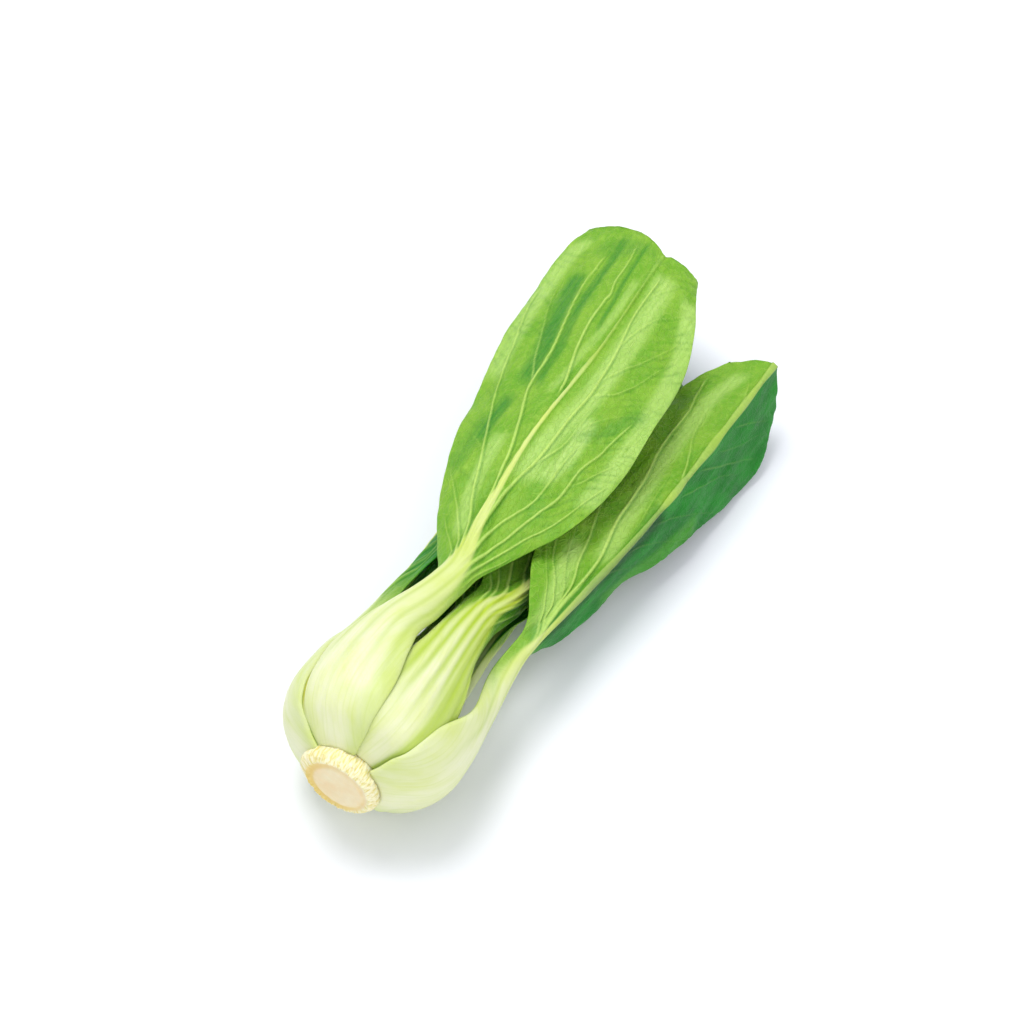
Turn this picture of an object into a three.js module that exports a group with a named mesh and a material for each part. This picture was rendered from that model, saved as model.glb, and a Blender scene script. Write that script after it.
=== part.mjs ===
// A head of bok choy lying on its side, as cut and set down on a table.
//
// The head is a short stem, cut off flat, with ten leaves round it. Each leaf is one solid: a
// thick, spoon-shaped white stalk that swells into the bulb, narrows to a neck and carries on as
// the midrib of a broad green blade. The oldest leaf is outermost. Each younger leaf is tucked
// under the edges of the older ones, as an onion's skins are.
//
// The head is worked out in its own frame, in millimetres: the cut stem faces -Y, the blades
// reach towards +Y, the axis of the bulb runs along Y at AXIS_HEIGHT, and z = 0 is the table.
// At the end it is shifted so that the origin is the middle of the space that it takes on the table.
import * as THREE from 'three';

const AXIS_HEIGHT = 30;      // the axis of the bulb, above the table
const STEM_RADIUS = 13.4;    // the cut stem, where the outermost stalks leave it
const PITH_RADIUS = 11.2;    // the flat cut face
const STEM_TAPER = 0.26;     // how far the stem narrows for each millimetre of its height
const STEM_HEIGHT = 27;      // from the cut to the growing tip
const STUB = 1.2;            // how far the cut face stands proud of the stalks
const CLEARANCE = 0.5;       // between one piece and the next
const TUCK = 9;              // degrees over which a younger stalk rises from under an older edge
const BLADE_THICKNESS = 0.8;
const STALK_EDGE = 1.3;      // thickness of a stalk at its two edges
const VEIN_HEIGHT = 0.5;     // how far a side vein stands out of the back of a blade

// The bulb's outline, as [distance from the axis, distance from the cut].
const BULB = [
  [13.4, 0.9], [17.9, 2.6], [22.5, 5.6], [26.5, 9.2], [29.1, 13.8], [30.8, 19.5], [31.2, 26.5],
  [30.6, 36], [28.9, 48], [26.9, 60], [25.2, 75], [24, 92],
];
const WIDEST_AT = 6;         // the entry of BULB where it is widest
const PRESSED = 0.1;         // share of its radius that the bulb loses where its weight presses it
const PRESSED_AT = -52;      // the angle round the axis where it is pressed most

// The leaves, oldest first. Angles are in degrees round the axis, from +X (right) towards +Z (up).
//   turn      where the stalk grows           span     half of the angle that it wraps at the widest
//   thick     the stalk at its middle         deep     how far inside the bulb's outline it lies
//   heel      how far up the stem it starts   neck     half of the stalk's width at its narrowest
//   waist     how far the stalk has narrowed at four places, BROAD unless it is given
//   path      the middle of its back past the bulb, neck first, as [x, y, z]
//   facing    which way its back faces, at the neck, halfway up the blade and at the tip
//   blade     [left, right] half-widths, as [share of the way from the neck to the tip, width]
//   tip       [left, right] how far the last shoulder lies ahead of the middle of the tip
//   lobe      how far the tip bulges on the left of its middle, and so leaves a notch there
//   fold      [left, right] slope of each half, away from the back
//   curl      [left, right] how far each half goes on bending
//   wave      [height, waves along the edge, phase]
const outline = (points) => (width) => points.map(([share, w]) => [share, w * width]);
const oblong = outline([[0, 0], [0.05, 0.14], [0.12, 0.42], [0.2, 0.7], [0.32, 0.91],
  [0.48, 1], [0.66, 0.99], [0.82, 0.9], [0.93, 0.76], [1, 0.58]]);
const spoon = outline([[0, 0], [0.1, 0.05], [0.22, 0.25], [0.36, 0.6], [0.5, 0.88], [0.66, 1],
  [0.82, 0.92], [0.93, 0.77], [1, 0.58]]);

const BROAD = [0, 0.28, 0.74, 0.98];

const LEAVES = [
  { name: 'leaf_01_left', turn: 182, span: 43, thick: 7.5, deep: 0, heel: 2, neck: 7.5,
    path: [[-26.2, 70, 30], [-25.7, 92, 27.5], [-29.5, 125, 23.5], [-33.5, 160, 21], [-33, 195, 19], [-30, 222, 17]],
    facing: [176, 180, 178], blade: [oblong(20), oblong(26)], tip: [-9, -11], lobe: 0,
    fold: [-4, 30], curl: [8, 22], wave: [1.2, 3, 0.3] },
  { name: 'leaf_02_right', turn: -4, span: 46, thick: 7.5, deep: 0, heel: 2, neck: 3.4, waist: [0.08, 0.5, 0.87, 1],
    path: [[27, 68, 30], [30.2, 84, 32.2], [32.4, 100, 32.2], [36.6, 130, 33.2], [39, 165, 33], [41.6, 222, 31.9]],
    facing: [14, 54, 61],
    blade: [
      [[0, 0], [0.05, 2.5], [0.12, 11.6], [0.2, 19.2], [0.32, 24.5], [0.48, 27.4], [0.66, 27.6], [0.82, 26],
        [0.93, 20.7], [1, 13.6]],
      [[0, 0], [0.04, 7.8], [0.1, 14.3], [0.18, 17.8], [0.28, 19.4], [0.4, 19.6], [0.6, 23], [0.75, 28.6],
        [0.88, 27.9], [1, 15.8]]],
    tip: [-6.5, -5.8], lobe: 0, fold: [34, 43], curl: [6, 4], wave: [1.2, 3, 1.2] },
  { name: 'leaf_03_top', turn: 110, span: 34, thick: 7, deep: 0, heel: 3.5, neck: 6.6,
    path: [[-4, 78, 51], [-7, 104, 49.5], [-9.2, 140, 51], [-7.2, 180, 51], [-10, 238, 47.5]],
    facing: [97, 92, 90],
    blade: [
      [[0, 2], [0.05, 8.9], [0.1, 13.1], [0.19, 19.5], [0.27, 22.3], [0.41, 28.4], [0.55, 35], [0.72, 37.4],
        [0.86, 38.8], [0.95, 35.4], [1, 33]],
      [[0, 0], [0.06, 9.3], [0.13, 18.5], [0.24, 29], [0.4, 33.6], [0.56, 31.5], [0.72, 28.5], [0.84, 22.8],
        [0.93, 17.7], [1, 14.4]]],
    tip: [5.5, -3.9], lobe: 7, fold: [6, 3], curl: [16, 12], wave: [1.4, 3, 2.1] },
  { name: 'leaf_04_under', turn: 264, span: 39, thick: 7.5, deep: 0, heel: 5, neck: 8,
    path: [[-3, 76, 5], [-4, 105, 4], [-5, 140, 3], [-5, 180, 3], [-4, 216, 3]],
    facing: [268, 270, 270], blade: [oblong(25), oblong(24)], tip: [-11, -11], lobe: 0,
    fold: [0, 0], curl: [16, 16], wave: [1.0, 3, 0.9] },
  { name: 'leaf_05_upper_right', turn: 56, span: 33, thick: 7, deep: 2.6, heel: 4.5, neck: 7.6,
    path: [[12, 72, 43], [14, 88, 35.5], [13.5, 106, 29.5], [13, 128, 28], [12, 160, 27.5], [12, 205, 25]],
    facing: [58, 80, 82],
    blade: [oblong(25), spoon(20)], tip: [-11, -11], lobe: 0,
    fold: [0, 8], curl: [10, 14], wave: [1.2, 3, 0.2] },
  { name: 'leaf_06_inner_left', turn: 148, span: 32, thick: 6, deep: 8, heel: 7, neck: 6,
    path: [[-13, 74, 37.5], [-12, 98, 31], [-9, 130, 25.5], [-8.5, 192, 24.5]],
    facing: [135, 98, 92], blade: [oblong(17), spoon(15)], tip: [-9, -9], lobe: 0,
    fold: [4, 4], curl: [14, 14], wave: [0.9, 3, 1.7] },
  { name: 'leaf_07_inner_right', turn: 312, span: 34, thick: 6, deep: 8, heel: 8, neck: 6,
    path: [[10.5, 76, 15], [11.5, 100, 13.2], [13, 135, 10], [13, 184, 9]],
    facing: [300, 276, 272], blade: [oblong(17), spoon(14)], tip: [-9, -9], lobe: 0,
    fold: [4, 4], curl: [14, 14], wave: [0.9, 3, 0.5] },
  { name: 'leaf_08_heart_top', turn: 74, span: 36, thick: 5, deep: 13, heel: 10, neck: 4.6,
    path: [[3, 72, 34.5], [2, 95, 26.5], [1, 125, 21], [1, 160, 20]],
    facing: [80, 88, 90], blade: [oblong(15), spoon(13)], tip: [-8, -8], lobe: 0,
    fold: [5, 5], curl: [16, 16], wave: [0.7, 2, 0.4] },
  { name: 'leaf_09_heart_left', turn: 214, span: 38, thick: 4.5, deep: 15, heel: 12, neck: 4.5,
    path: [[-7.5, 70, 22], [-8.5, 90, 17], [-9, 115, 14], [-9, 146, 13.5]],
    facing: [218, 262, 270], blade: [spoon(11), spoon(9.5)], tip: [-7, -7], lobe: 0,
    fold: [2, 2], curl: [12, 12], wave: [0.6, 2, 1.1] },
  { name: 'leaf_10_heart', turn: 345, span: 38, thick: 3.4, deep: 18, heel: 14, neck: 2.4,
    path: [[5.1, 66, 23.4], [4.3, 84, 19.2], [4.2, 100, 16.6], [4.2, 116, 16]],
    facing: [335, 300, 278], blade: [oblong(5.5), oblong(5.5)], tip: [-5, -5], lobe: 0,
    fold: [4, 4], curl: [20, 20], wave: [0.4, 2, 0.7] },
];

// Where the points across a leaf lie, from its middle to its edge. They crowd at the midrib and,
// on the leaves that show, at two side veins in each half.
const VEINED = [0.1, 0.27, 0.33, 0.39, 0.58, 0.64, 0.7, 0.86, 1];
const VEINS = [0.33, 0.64];
const PLAIN = [0.08, 0.2, 0.4, 0.62, 0.82, 1];
const bothHalves = (half) => [...half.map((u) => -u).reverse(), 0, ...half];
const STALK_ROWS = 12;
const BLADE_ROW = 9.5;       // the step between rows along a blade

const rad = THREE.MathUtils.degToRad;
const { lerp, clamp, smoothstep } = THREE.MathUtils;

// A smooth curve through [position, value] points: cubic pieces whose slope at each point is the
// slope between its two neighbours.
function through(points, at) {
  const last = points.length - 1;
  const slope = (i) => {
    const [a, b] = [points[Math.max(i - 1, 0)], points[Math.min(i + 1, last)]];
    return (b[1] - a[1]) / (b[0] - a[0]);
  };
  if (at <= points[0][0]) return points[0][1];
  if (at >= points[last][0]) return points[last][1];
  const i = points.findIndex((p) => p[0] > at) - 1;
  const [[x0, y0], [x1, y1]] = [points[i], points[i + 1]];
  const span = x1 - x0;
  const t = (at - x0) / span;
  const [m0, m1] = [slope(i) * span, slope(i + 1) * span];
  return y0 * (2 * t ** 3 - 3 * t ** 2 + 1) + m0 * (t ** 3 - 2 * t ** 2 + t)
    + y1 * (3 * t ** 2 - 2 * t ** 3) + m1 * (t ** 3 - t ** 2);
}

// The bulb's outline again, by distance travelled along it.
const travelled = BULB.map((p, i) => BULB.slice(1, i + 1)
  .reduce((sum, q, k) => sum + Math.hypot(q[0] - BULB[k][0], q[1] - BULB[k][1]), 0));
const outlineRadius = (along) => through(BULB.map((p, i) => [travelled[i], p[0]]), along);
const outlineY = (along) => through(BULB.map((p, i) => [travelled[i], p[1]]), along);
const WIDEST = travelled[WIDEST_AT];
const SHELL_END = travelled[travelled.length - 1];

// A point that is `depth` inside the bulb's outline. Depth is measured up the stem at the cut and
// straight in towards the axis from the widest part on, so the layers stack on the stem.
function inBulb(along, angle, depth) {
  const turned = smoothstep(along, 0, WIDEST * 0.8);
  const lean = lerp(Math.atan2(1, -STEM_TAPER), Math.PI, turned);
  const pressed = PRESSED * Math.max(Math.cos(rad(angle - PRESSED_AT)), 0) ** 4 * smoothstep(along, 1, 10);
  const r = outlineRadius(along) * (1 - pressed) + depth * Math.cos(lean);
  const y = outlineY(along) + depth * Math.sin(lean);
  return new THREE.Vector3(r * Math.cos(rad(angle)), y, AXIS_HEIGHT + r * Math.sin(rad(angle)));
}

// Half of a stalk's width along the bulb's outline: from the stem out to its widest and in again
// to the neck.
function stalkHalfWidth(leaf, along) {
  const widest = rad(leaf.span) * (31.3 - leaf.deep);
  const atStem = rad(leaf.span) * STEM_RADIUS * 1.05;
  const waist = (leaf.waist ?? BROAD).map((share, i) => [28 + 16 * i, lerp(widest, leaf.neck, share)]);
  return through([[0, atStem], [12, lerp(atStem, widest, 0.62)], ...waist, [90, leaf.neck]], along);
}

// How thick a leaf is at a distance from its midrib, where `rib` is half of the rib's width.
function thickness(middle, edge, distance, rib) {
  const inside = clamp(1 - (distance / rib) ** 2, 0, 1);
  return edge + (middle - edge) * inside ** 1.2;
}

// The stalks are packed from the outside in. `packed` holds how deep the bulb is already filled,
// on a grid of rows along the outline and degrees round the axis.
const GRID_ROWS = 40;
const GRID_STEP = SHELL_END / GRID_ROWS;
const packed = Array.from({ length: GRID_ROWS + 1 }, () => new Array(360).fill(0));
const wrap = (angle) => ((angle % 360) + 540) % 360 - 180;

function filledTo(along, angle) {
  const row = clamp(along / GRID_STEP, 0, GRID_ROWS - 1e-6);
  const column = ((angle % 360) + 360) % 360;
  const [r0, c0] = [Math.floor(row), Math.floor(column)];
  const at = (r) => lerp(packed[r][c0], packed[r][(c0 + 1) % 360], column - c0);
  return lerp(at(r0), at(r0 + 1), row - r0);
}

// Depth of a stalk's back and of its inner face, at `u` from its left edge (-1) to its right (1).
function stalkDepths(leaf, along, u) {
  const radius = outlineRadius(along) - leaf.deep * smoothstep(along, 0, WIDEST);
  const halfAngle = THREE.MathUtils.radToDeg(stalkHalfWidth(leaf, along) / Math.max(radius, 8));
  const angle = leaf.turn - u * halfAngle;
  const own = leaf.deep * smoothstep(along, 0, WIDEST * 1.2) + 1.6 * u ** 2 * smoothstep(along, 8, 40)
    + leaf.heel * (1 - smoothstep(along, 2, 26));
  const back = Math.max(filledTo(along, angle), own);
  const middle = leaf.thick * lerp(0.55, 1, smoothstep(along, 0, 22));
  const thick = thickness(middle, STALK_EDGE, Math.abs(u), 1);
  return { angle, halfAngle, back, inner: back + thick };
}

function pack(leaf) {
  const filled = packed.map((row) => row.slice());
  for (let r = 0; r <= GRID_ROWS; r += 1) {
    const along = Math.min(r * GRID_STEP, SHELL_END - 1e-6);
    const { halfAngle } = stalkDepths(leaf, along, 0);
    for (let column = 0; column < 360; column += 1) {
      const off = Math.abs(wrap(column - leaf.turn));
      if (off > halfAngle + TUCK) continue;
      const u = clamp(wrap(leaf.turn - column) / halfAngle, -1, 1);
      const inner = stalkDepths(leaf, along, u).inner + CLEARANCE;
      const under = 1 - smoothstep(off, halfAngle + 2.5, halfAngle + TUCK);
      filled[r][column] = lerp(packed[r][column], Math.max(inner, packed[r][column]), under);
    }
  }
  filled.forEach((row, r) => { packed[r] = row; });
}

// The middle line of a leaf and its frame, past the bulb, at a distance y from the cut.
function middleLine(leaf, starts) {
  const points = [...starts, ...leaf.path.map((p) => new THREE.Vector3(...p))];
  const xs = points.map((p) => [p.y, p.x]);
  const zs = points.map((p) => [p.y, p.z]);
  const tipY = leaf.path.at(-1)[1];
  const neckY = leaf.path[0][1];
  const facing = [[starts[0].y, leaf.turn], [neckY, leaf.facing[0]],
    [lerp(neckY, tipY, 0.5), leaf.facing[1]], [tipY, leaf.facing[2]]];
  return (y) => {
    const step = 0.5;
    const at = new THREE.Vector3(through(xs, y), y, through(zs, y));
    const run = new THREE.Vector3(through(xs, y + step) - through(xs, y - step), 2 * step,
      through(zs, y + step) - through(zs, y - step)).normalize();
    const angle = rad(through(facing, y));
    const back = new THREE.Vector3(Math.cos(angle), 0, Math.sin(angle));
    back.addScaledVector(run, -back.dot(run)).normalize();
    const right = new THREE.Vector3().crossVectors(run, back);
    return { at, run, back, right };
  };
}

// One row of a leaf past the bulb: points on its back and on its inner face.
function bladeRow(leaf, line, y, share, stalkWidth) {
  const { at, run, back, right } = line(y);
  const spread = smoothstep(share, 0, 0.3);
  const nearTip = smoothstep(share, 0.35, 1);
  const sunk = lerp(leaf.thick * 0.72, 1.3, smoothstep(share, -0.1, 0.8) ** 0.7);
  const rib = lerp(stalkWidth, 1, smoothstep(share, -0.02, 0.5) ** 0.5);
  const middle = lerp(leaf.thick * 0.72, 1.3, smoothstep(share, -0.1, 0.5) ** 0.6);
  const edge = lerp(STALK_EDGE, BLADE_THICKNESS, smoothstep(share, 0, 0.1));
  return leaf.across.map((u) => {
    const side = u < 0 ? 0 : 1;
    const half = Math.hypot(through(leaf.blade[side], share), stalkWidth * (1 - spread * 0.6));
    const fold = rad(lerp(0, leaf.fold[side], spread));
    const curl = rad(lerp(42, leaf.curl[side], spread));
    const bend = fold + curl * Math.abs(u);
    const out = half / curl * (Math.sin(bend) - Math.sin(fold));
    const drop = half / curl * (Math.cos(fold) - Math.cos(bend));
    const [height, count, phase] = leaf.wave;
    const ripple = height * spread * u ** 2
      * Math.sin(2 * Math.PI * count * share + phase + (u < 0 ? 0 : 2.2));
    const ahead = nearTip * (leaf.tip[side] * (1 - Math.cos(u * Math.PI / 2))
      + (u < 0 ? leaf.lobe * Math.sin(-u * Math.PI) : 0));
    const outwards = back.clone().multiplyScalar(Math.cos(bend))
      .addScaledVector(right, Math.sign(u) * Math.sin(bend));
    const inner = at.clone().addScaledVector(right, Math.sign(u) * out)
      .addScaledVector(back, -drop - sunk).addScaledVector(run, ahead).addScaledVector(outwards, ripple);
    const vein = leaf.across.length > 13 && VEINS.includes(Math.abs(u)) ? VEIN_HEIGHT * spread : 0;
    const thick = thickness(middle, edge, Math.abs(u) * half, Math.min(rib, half)) + vein;
    return { inner, outer: inner.clone().addScaledVector(outwards, thick) };
  });
}

// All rows of a leaf. In the bulb they follow the packed layers, past it the leaf's own middle
// line, and between the two they change smoothly from one to the other.
const LEAVING = 42;          // along the bulb's outline, where a stalk starts to follow its own line
const LEFT = 70;             // and where it no longer follows the bulb
function leafRows(leaf) {
  const onBulb = (along) => inBulb(along, leaf.turn, stalkDepths(leaf, along, 0).back);
  const starts = [34, 50].map(onBulb);
  const line = middleLine(leaf, starts);
  const neckY = leaf.path[0][1];
  const tipY = leaf.path.at(-1)[1];
  const share = (y) => (y - neckY) / (tipY - neckY);
  const rows = [];
  for (let i = 0; i < STALK_ROWS; i += 1) {
    const along = LEFT * i / (STALK_ROWS - 1);
    const free = smoothstep(along, LEAVING, LEFT);
    const y = Math.max(onBulb(along).y, starts[0].y);
    const past = bladeRow(leaf, line, y, share(y), stalkHalfWidth(leaf, along));
    rows.push(leaf.across.map((u, k) => {
      const { angle, back, inner } = stalkDepths(leaf, along, u);
      return {
        outer: inBulb(along, angle, back).lerp(past[k].outer, free),
        inner: inBulb(along, angle, inner).lerp(past[k].inner, free),
      };
    }));
  }
  const startY = onBulb(LEFT).y;
  const count = Math.max(Math.round((tipY - startY) / BLADE_ROW), 6);
  for (let i = 1; i <= count; i += 1) {
    const y = lerp(startY, tipY, i / count);
    rows.push(bladeRow(leaf, line, y, share(y), stalkHalfWidth(leaf, LEFT + y - startY)));
  }
  return rows;
}

// Where a leaf would sink into the table it is pressed flat on it.
function pressOnTable(rows) {
  for (const point of rows.flat()) {
    const lift = Math.max(0, -Math.min(point.outer.z, point.inner.z));
    point.outer.z += lift;
    point.inner.z += lift;
  }
}

// A closed solid between the two faces of a leaf, split into triangles alike on both.
function leafGeometry(rows) {
  const across = rows[0].length;
  const layer = rows.length * across;
  const points = ['outer', 'inner'].flatMap((face) => rows.flat().map((p) => p[face]));
  const index = [];
  const quad = (a, b, c, d) => index.push(a, b, c, a, c, d);
  for (let r = 0; r + 1 < rows.length; r += 1) {
    for (let k = 0; k + 1 < across; k += 1) {
      const a = r * across + k;
      const [b, c, d] = [a + 1, a + across + 1, a + across];
      quad(a, b, c, d);
      index.push(layer + a, layer + c, layer + b, layer + a, layer + d, layer + c);
    }
    const [left, right] = [r * across, r * across + across - 1];
    quad(left, left + across, layer + left + across, layer + left);
    quad(right + across, right, layer + right, layer + right + across);
  }
  for (let k = 0; k + 1 < across; k += 1) {
    const end = (rows.length - 1) * across + k;
    quad(k + 1, k, layer + k, layer + k + 1);
    quad(end, end + 1, layer + end + 1, layer + end);
  }
  const geometry = new THREE.BufferGeometry().setFromPoints(points);
  geometry.setIndex(index);
  geometry.computeVertexNormals();
  return geometry;
}

// The stem: a cone with the cut face at its foot and the growing tip on top.
function stemGeometry() {
  const side = (height) => STEM_RADIUS - CLEARANCE - STEM_TAPER * height;
  const outline = [[0, -STUB], [PITH_RADIUS, -STUB], [side(0) - 0.6, -STUB + 0.9], [side(0), 0.6],
    [side(8), 8], [side(16), 16], [side(STEM_HEIGHT - 2), STEM_HEIGHT - 2],
    [side(STEM_HEIGHT) - 3, STEM_HEIGHT], [0, STEM_HEIGHT]];
  return new THREE.LatheGeometry(outline.map((p) => new THREE.Vector2(...p)), 36);
}

const head = new THREE.Group();

const stem = new THREE.Mesh(stemGeometry(),
  new THREE.MeshStandardMaterial({ color: 0xf3e6c0, roughness: 0.7, metalness: 0 }));
stem.name = 'stem';
stem.position.set(0, 0, AXIS_HEIGHT);
head.add(stem);

LEAVES.forEach((leaf, i) => {
  leaf.across = bothHalves(i < 5 ? VEINED : PLAIN);
  const rows = leafRows(leaf);
  pack(leaf);
  pressOnTable(rows);
  const mesh = new THREE.Mesh(leafGeometry(rows),
    new THREE.MeshStandardMaterial({ color: 0xa5d052, roughness: 0.45, metalness: 0 }));
  mesh.name = leaf.name;
  head.add(mesh);
});

const part = new THREE.Group();
part.add(head);
part.updateMatrixWorld(true);
const middle = new THREE.Box3().setFromObject(head, true).getCenter(new THREE.Vector3());
head.position.set(-middle.x, -middle.y, 0);

export default part;
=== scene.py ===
# %% [markdown]
# # A head of bok choy, lying on a table
# Ten leaves grow in a spiral round a short stem: a white stalk wraps the bulb, narrows to a neck
# and opens into a green blade. The imported model gives each of them as a plain faceted solid. This
# lesson makes every leaf again from the same numbers, much finer, and adds what a faceted solid
# can't hold: the ribs of the stalks, the veins, the puckers between them and the colours.
# The imported model is loaded first.

# %% Load the imported model
import math
from types import SimpleNamespace
import bpy
import numpy as np
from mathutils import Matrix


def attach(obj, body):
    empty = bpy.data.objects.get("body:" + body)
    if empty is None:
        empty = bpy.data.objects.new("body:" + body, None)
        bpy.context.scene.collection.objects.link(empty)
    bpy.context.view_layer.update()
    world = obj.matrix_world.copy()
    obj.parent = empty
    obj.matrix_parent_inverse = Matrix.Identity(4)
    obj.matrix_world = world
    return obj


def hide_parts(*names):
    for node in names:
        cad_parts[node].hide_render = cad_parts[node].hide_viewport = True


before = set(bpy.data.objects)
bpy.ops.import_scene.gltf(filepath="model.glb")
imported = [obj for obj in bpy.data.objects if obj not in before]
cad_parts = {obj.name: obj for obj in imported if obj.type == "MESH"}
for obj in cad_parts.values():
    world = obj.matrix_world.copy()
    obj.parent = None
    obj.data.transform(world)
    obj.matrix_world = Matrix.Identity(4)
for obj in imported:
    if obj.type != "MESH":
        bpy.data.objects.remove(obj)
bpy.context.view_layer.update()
print("solids:", sorted(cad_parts))

# %% [markdown]
# ## Camera
# The head is seen from a little right of its cut end, from well above. A long lens keeps the
# bulb from looking too big beside the blades, as it does on a photograph taken from a step away.

# %% Camera
AIM = np.array([-0.00987, 0.00174, 0.025])
SIDE, RAISED, AWAY = math.radians(29), math.radians(50), 0.9

towards_camera = np.array([math.sin(SIDE) * math.cos(RAISED), -math.cos(SIDE) * math.cos(RAISED),
                           math.sin(RAISED)])
lens = bpy.data.cameras.new("table_camera")
lens.angle = math.radians(21.475)
camera = bpy.data.objects.new("table_camera", lens)
camera.location = AIM + AWAY * towards_camera
camera.rotation_euler = (math.pi / 2 - RAISED, 0, SIDE)
bpy.context.scene.collection.objects.link(camera)
bpy.context.scene.camera = camera
print("camera at", np.round(camera.location, 3))

# %% [markdown]
# ## Curves through a few points
# A leaf is described by short tables, such as how wide it is at ten places. Straight lines
# between them would show as corners, so a smooth curve goes through the points. Everything is in
# millimetres here and becomes metres when a mesh is made.

# %% Smooth curves
def through(points, at):
    """Through [place, value] points in cubic pieces. The slope at a point is that between its neighbours."""
    x, y = np.array(points, float).T
    before, after = np.maximum(np.arange(len(x)) - 1, 0), np.minimum(np.arange(len(x)) + 1, len(x) - 1)
    slope = (y[after] - y[before]) / (x[after] - x[before])
    at = np.clip(at, x[0], x[-1])
    i = np.clip(np.searchsorted(x, at, side="right") - 1, 0, len(x) - 2)
    span = x[i + 1] - x[i]
    t = (at - x[i]) / span
    return (y[i] * (2 * t**3 - 3 * t**2 + 1) + slope[i] * span * (t**3 - 2 * t**2 + t)
            + y[i + 1] * (3 * t**2 - 2 * t**3) + slope[i + 1] * span * (t**3 - t**2))


def ease(x, start, end):
    """0 before start, 1 after end, and 3t^2 - 2t^3 between."""
    t = np.clip((x - start) / (end - start), 0, 1)
    return t * t * (3 - 2 * t)


def blend(a, b, t):
    """a at t = 0, b at t = 1."""
    return a + (b - a) * t


def cloud(x, y, size, seed, waves=10):
    """Uneven ground between about -1 and 1: a sum of sine waves about as long as the size, in directions that
    are drawn from the seed."""
    draw = np.random.default_rng(seed)
    total = 0
    for _ in range(waves):
        way, length = draw.uniform(0, 2 * np.pi), size * draw.uniform(0.6, 1.7)
        start = draw.uniform(0, 2 * np.pi)
        total = total + np.sin(2 * np.pi * (x * np.cos(way) + y * np.sin(way)) / length + start)
    return total / math.sqrt(waves)


print("halfway between 0 and 1:", through([[0, 0], [1, 1]], 0.5))

# %% [markdown]
# ## The bulb
# The outline of the bulb is a curve from the cut stem, out over the round shoulder and in again
# to the waist. A point in the bulb is named by how far along that curve it lies, its angle round
# the axis, and how deep under the outline it is. At the cut the depth runs up the stem, and from
# the shoulder on it runs in towards the axis, because the stalks stack up on the stem that way.
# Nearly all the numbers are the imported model's own, so the fine leaves lie where its solids lie.

# %% Outline of the bulb
AXIS_HEIGHT = 30                            # of the head's axis above the table
STEM_RADIUS, STEM_TAPER, STEM_HEIGHT = 13.4, 0.26, 27
PITH_RADIUS, STUB = 11.2, 1.2               # the cut disc, and how far it stands out of the leaves
CLEARANCE = 0.5                             # between the stem and the feet of the leaves
SNUG = -0.2                                 # between stalks: pressed into each other
TUCK = 9                                    # degrees over which a stalk eases off beside its edge
BLADE_THICKNESS, RIB_THICKNESS, STALK_EDGE = 0.8, 1.3, 1.3
NECK_LEFT, STALK_CURL = 0.72, math.radians(42)  # share of a stalk's thickness at the neck, and its curl
PRESSED, PRESSED_AT = 0.1, -52              # share of the radius, and the angle where most of it goes
WIDEST_AT, WIDEST_RADIUS = 6, 31.3          # which point of the outline is widest, and how wide
MIDDLE = np.array([-1.273, -122.563, 0.0])  # moves the middle of the head's box to the origin

bulb = np.array([[13.4, 0.9], [17.9, 2.6], [22.5, 5.6], [26.5, 9.2], [29.1, 13.8], [30.8, 19.5], [31.2, 26.5],
                 [30.6, 36], [28.9, 48], [26.9, 60], [25.2, 75], [24, 92]])
travelled = np.r_[0, np.cumsum(np.hypot(*np.diff(bulb, axis=0).T))]
WIDEST, SHELL_END = travelled[WIDEST_AT], travelled[-1]
print("the outline is", round(SHELL_END, 1), "mm long")


def outline_radius(along):
    return through(np.c_[travelled, bulb[:, 0]], along)


def outline_y(along):
    return through(np.c_[travelled, bulb[:, 1]], along)


def in_bulb(along, angle, depth):
    """Outline point moved by depth, up the stem at the cut and towards the axis from the shoulder on. Its own
    weight presses the head: below on the right a radius is shorter by PRESSED * cos(angle from there)^4."""
    lean = blend(math.atan2(1, -STEM_TAPER), math.pi, ease(along, 0, WIDEST * 0.8))
    pressed = PRESSED * np.clip(np.cos(np.radians(angle - PRESSED_AT)), 0, 1) ** 4 * ease(along, 1, 10)
    r = outline_radius(along) * (1 - pressed) + depth * np.cos(lean)
    y = outline_y(along) + depth * np.sin(lean)
    angle = np.radians(angle)
    return np.stack(np.broadcast_arrays(r * np.cos(angle), y, AXIS_HEIGHT + r * np.sin(angle)), -1)


# %% [markdown]
# ## The ten leaves
# One line of facts for each leaf, oldest first. `turn` is where its stalk stands round the axis,
# from the right (+X) towards the top (+Z). `path` is the middle of its back past the bulb, and
# `facing` the way that back faces at the neck, halfway and at the tip. `blade` holds the widths
# of the two halves, as shares of the way from neck to tip. `fold` and `curl` bend the two halves,
# and `wave` ripples the margin. A `waist` says how far the stalk has narrowed at four places.

# %% Facts of the leaves
def outline(points):
    """A shape of blade, as shares of its greatest width, that is given that width later."""
    return lambda width: [[share, w * width] for share, w in points]


oblong = outline([[0, 0], [0.05, 0.14], [0.12, 0.42], [0.2, 0.7], [0.32, 0.91], [0.48, 1], [0.66, 0.99],
                  [0.82, 0.9], [0.93, 0.76], [1, 0.58]])
spoon = outline([[0, 0], [0.1, 0.05], [0.22, 0.25], [0.36, 0.6], [0.5, 0.88], [0.66, 1], [0.82, 0.92],
                 [0.93, 0.77], [1, 0.58]])


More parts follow.
